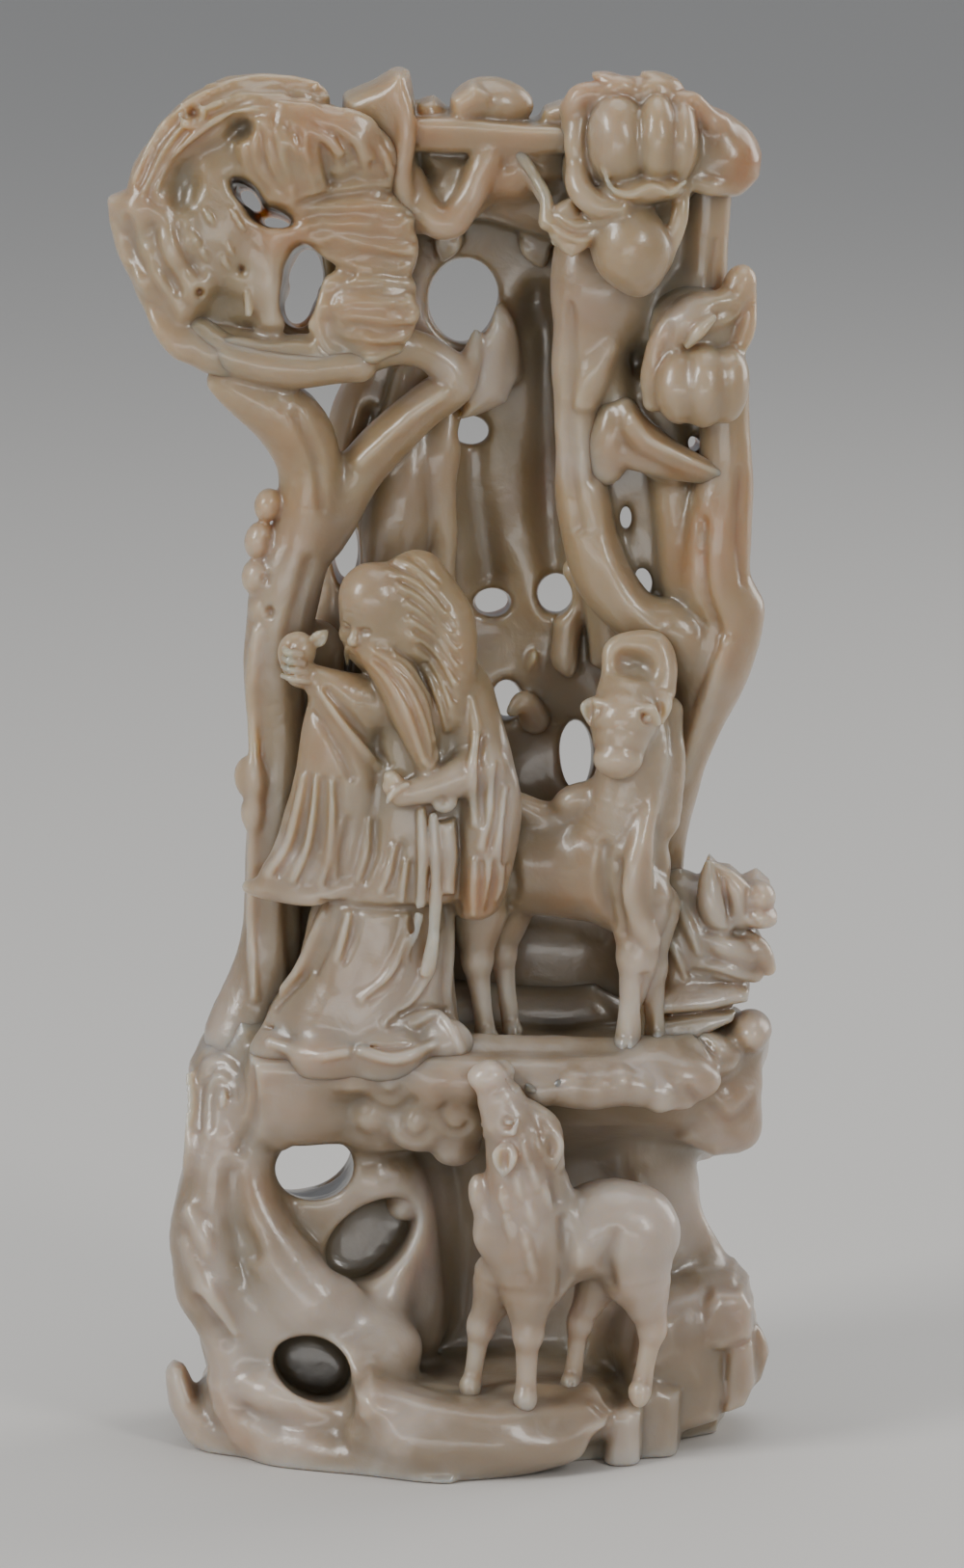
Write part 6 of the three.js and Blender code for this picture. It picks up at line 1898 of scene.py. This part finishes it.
def lumpRowTree():
    tree = bpy.data.node_groups.new("row of lumps", "GeometryNodeTree")
    tree.is_modifier = True
    for name, way, kind in (
        ("Geometry", "INPUT", "NodeSocketGeometry"), ("Count", "INPUT", "NodeSocketInt"),
        ("Size", "INPUT", "NodeSocketFloat"), ("Seed", "INPUT", "NodeSocketInt"),
        ("Stone", "INPUT", "NodeSocketMaterial"), ("Geometry", "OUTPUT", "NodeSocketGeometry"),
    ):
        tree.interface.new_socket(name, in_out=way, socket_type=kind)
    nodes, links = tree.nodes, tree.links
    given, result = nodes.new("NodeGroupInput"), nodes.new("NodeGroupOutput")
    curve = nodes.new("GeometryNodeMeshToCurve")
    even = nodes.new("GeometryNodeResampleCurve")
    bead = nodes.new("GeometryNodeMeshIcoSphere")
    bead.inputs["Subdivisions"].default_value = 3
    smooth = nodes.new("GeometryNodeSetShadeSmooth")
    tangent = nodes.new("GeometryNodeInputTangent")
    follow = nodes.new("FunctionNodeAlignRotationToVector")
    follow.axis = "X"
    swing = nodes.new("FunctionNodeRandomValue")
    swing.data_type = "FLOAT_VECTOR"
    setInputs(swing, {"Min": (-0.5, -0.5, -0.4), "Max": (0.5, 0.5, 0.4)})
    turned = nodes.new("FunctionNodeRotateRotation")
    sizes = nodes.new("FunctionNodeRandomValue")
    sizes.data_type = "FLOAT_VECTOR"
    setInputs(sizes, {"Min": ledgeEdge["least"], "Max": ledgeEdge["most"]})
    scaled = nodes.new("ShaderNodeVectorMath")
    scaled.operation = "SCALE"
    laid = nodes.new("GeometryNodeInstanceOnPoints")
    real = nodes.new("GeometryNodeRealizeInstances")
    painted = nodes.new("GeometryNodeSetMaterial")
    for source, leaving, target, entering in (
        (given, "Geometry", curve, "Mesh"), (curve, "Curve", even, "Curve"),
        (given, "Count", even, "Count"), (bead, "Mesh", smooth, "Geometry"),
        (tangent, "Tangent", follow, "Vector"), (follow, "Rotation", turned, "Rotation"),
        (given, "Seed", swing, "Seed"), (given, "Seed", sizes, "Seed"),
        (swing, "Value", turned, "Rotate By"), (sizes, "Value", scaled, "Vector"),
        (given, "Size", scaled, "Scale"), (even, "Curve", laid, "Points"),
        (smooth, "Geometry", laid, "Instance"), (turned, "Rotation", laid, "Rotation"),
        (scaled, "Vector", laid, "Scale"), (laid, "Instances", real, "Geometry"),
        (real, "Geometry", painted, "Geometry"), (given, "Stone", painted, "Material"),
        (painted, "Geometry", result, "Geometry"),
    ):
        links.new(source.outputs[leaving], target.inputs[entering])
    return tree


def makeLedgeEdge():
    path = (smoothPath(ledgeEdge["path"], 6) + toFrame) * grain
    line = bpy.data.meshes.new("ledge_edge")
    line.from_pydata([tuple(p) for p in path], [(i, i + 1) for i in range(len(path) - 1)], [])
    piece = placed("ledge_edge", line)
    tree = lumpRowTree()
    laying = piece.modifiers.new("laying", "NODES")
    laying.node_group = tree
    values = {name: ledgeEdge[name.lower()] for name in ("Count", "Size", "Seed")}
    values["Stone"] = jadeStone
    for item in tree.interface.items_tree:
        if item.in_out == "INPUT" and item.name in values:
            laying[item.identifier] = values[item.name]
    takeIn(piece)
    piece.data.name = "ledge_edge"
    count = len(piece.data.vertices)
    # the lumps get no painted shade and a little painted highlight
    for name, value in (("hollow_shade", 0), ("groove_shade", 0), ("edge_highlight", 0.15), ("skin", 0.45), ("green", 0)):
        addMask(piece.data, name, np.full(count, value))
    return piece


stonePieces.append(makeLedgeEdge())
for piece in stonePieces:
    if not piece.data.materials:
        piece.data.materials.append(jadeStone)
    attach(piece, "root")
    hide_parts("jade_carving")
print("dressed", len(stonePieces), "pieces", round(time.time() - started, 1), "s")


# Floor, light and camera

studio = {
    "floor": 14.0,                         # metres across
    "floorColour": (0.60, 0.585, 0.56, 1),
    "sky": (0.80, 0.83, 0.88, 1),
    "skyPower": 0.4,
    "lights": [
        # where it stands, width, height, power in watts, colour
        ((-0.78, -0.55, 0.66), 0.30, 0.55, 7.2, (1.0, 0.985, 0.96)),
        ((0.66, -0.86, 0.62), 0.24, 0.40, 4.0, (1.0, 0.975, 0.94)),
        ((0.10, 0.10, 1.05), 0.90, 0.70, 3.8, (0.96, 0.98, 1.0)),
        ((0.85, 0.60, 0.45), 0.50, 0.80, 5.0, (1.0, 0.97, 0.93)),
        ((-0.10, -1.05, 0.10), 0.90, 0.16, 2.0, (1.0, 0.98, 0.95)),
    ],
    "aim": (0.005, 0, 0.0872),
    "distance": 1.1,
    "elevation": 10.0,
    "sight": 0.2032,                       # metres that the picture's height spans at the aim
}


def areaLight(index, place, wide, tall, power, colour):
    lamp = bpy.data.lights.new("softbox_%d" % index, "AREA")
    lamp.shape = "RECTANGLE"
    lamp.size, lamp.size_y, lamp.energy, lamp.color = wide, tall, power, colour
    made = placed(lamp.name, lamp)
    made.location = place
    made.rotation_euler = (Vector(studio["aim"]) - Vector(place)).to_track_quat("-Z", "Y").to_euler()


def makeFloor():
    half = studio["floor"] / 2
    mesh = bpy.data.meshes.new("floor")
    corners = [(-half, -half, 0), (half, -half, 0), (half, half, 0), (-half, half, 0)]
    mesh.from_pydata(corners, [], [(0, 1, 2, 3)])
    made = placed("floor", mesh)
    paint = bpy.data.materials.new("floor")
    paint.use_nodes = True
    setInputs(paint.node_tree.nodes["Principled BSDF"], {
        "Base Color": studio["floorColour"], "Roughness": 0.75,
    })
    mesh.materials.append(paint)
    return made


makeFloor()
for index, lamp in enumerate(studio["lights"]):
    areaLight(index, *lamp)
sky = bpy.data.worlds.new("studio")
sky.use_nodes = True
setInputs(sky.node_tree.nodes["Background"], {"Color": studio["sky"], "Strength": studio["skyPower"]})
bpy.context.scene.world = sky

lens = bpy.data.cameras.new("camera")
lens.sensor_fit = "VERTICAL"
lens.sensor_height = 36
lens.lens = 36 * studio["distance"] / studio["sight"]
camera = placed("camera", lens)
rise = math.radians(studio["elevation"])
away = Vector((0, -math.cos(rise), math.sin(rise)))
camera.location = Vector(studio["aim"]) + away * studio["distance"]
camera.rotation_euler = (-away).to_track_quat("-Z", "Y").to_euler()
bpy.context.scene.camera = camera

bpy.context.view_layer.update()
print("finished", round(time.time() - started, 1), "s")
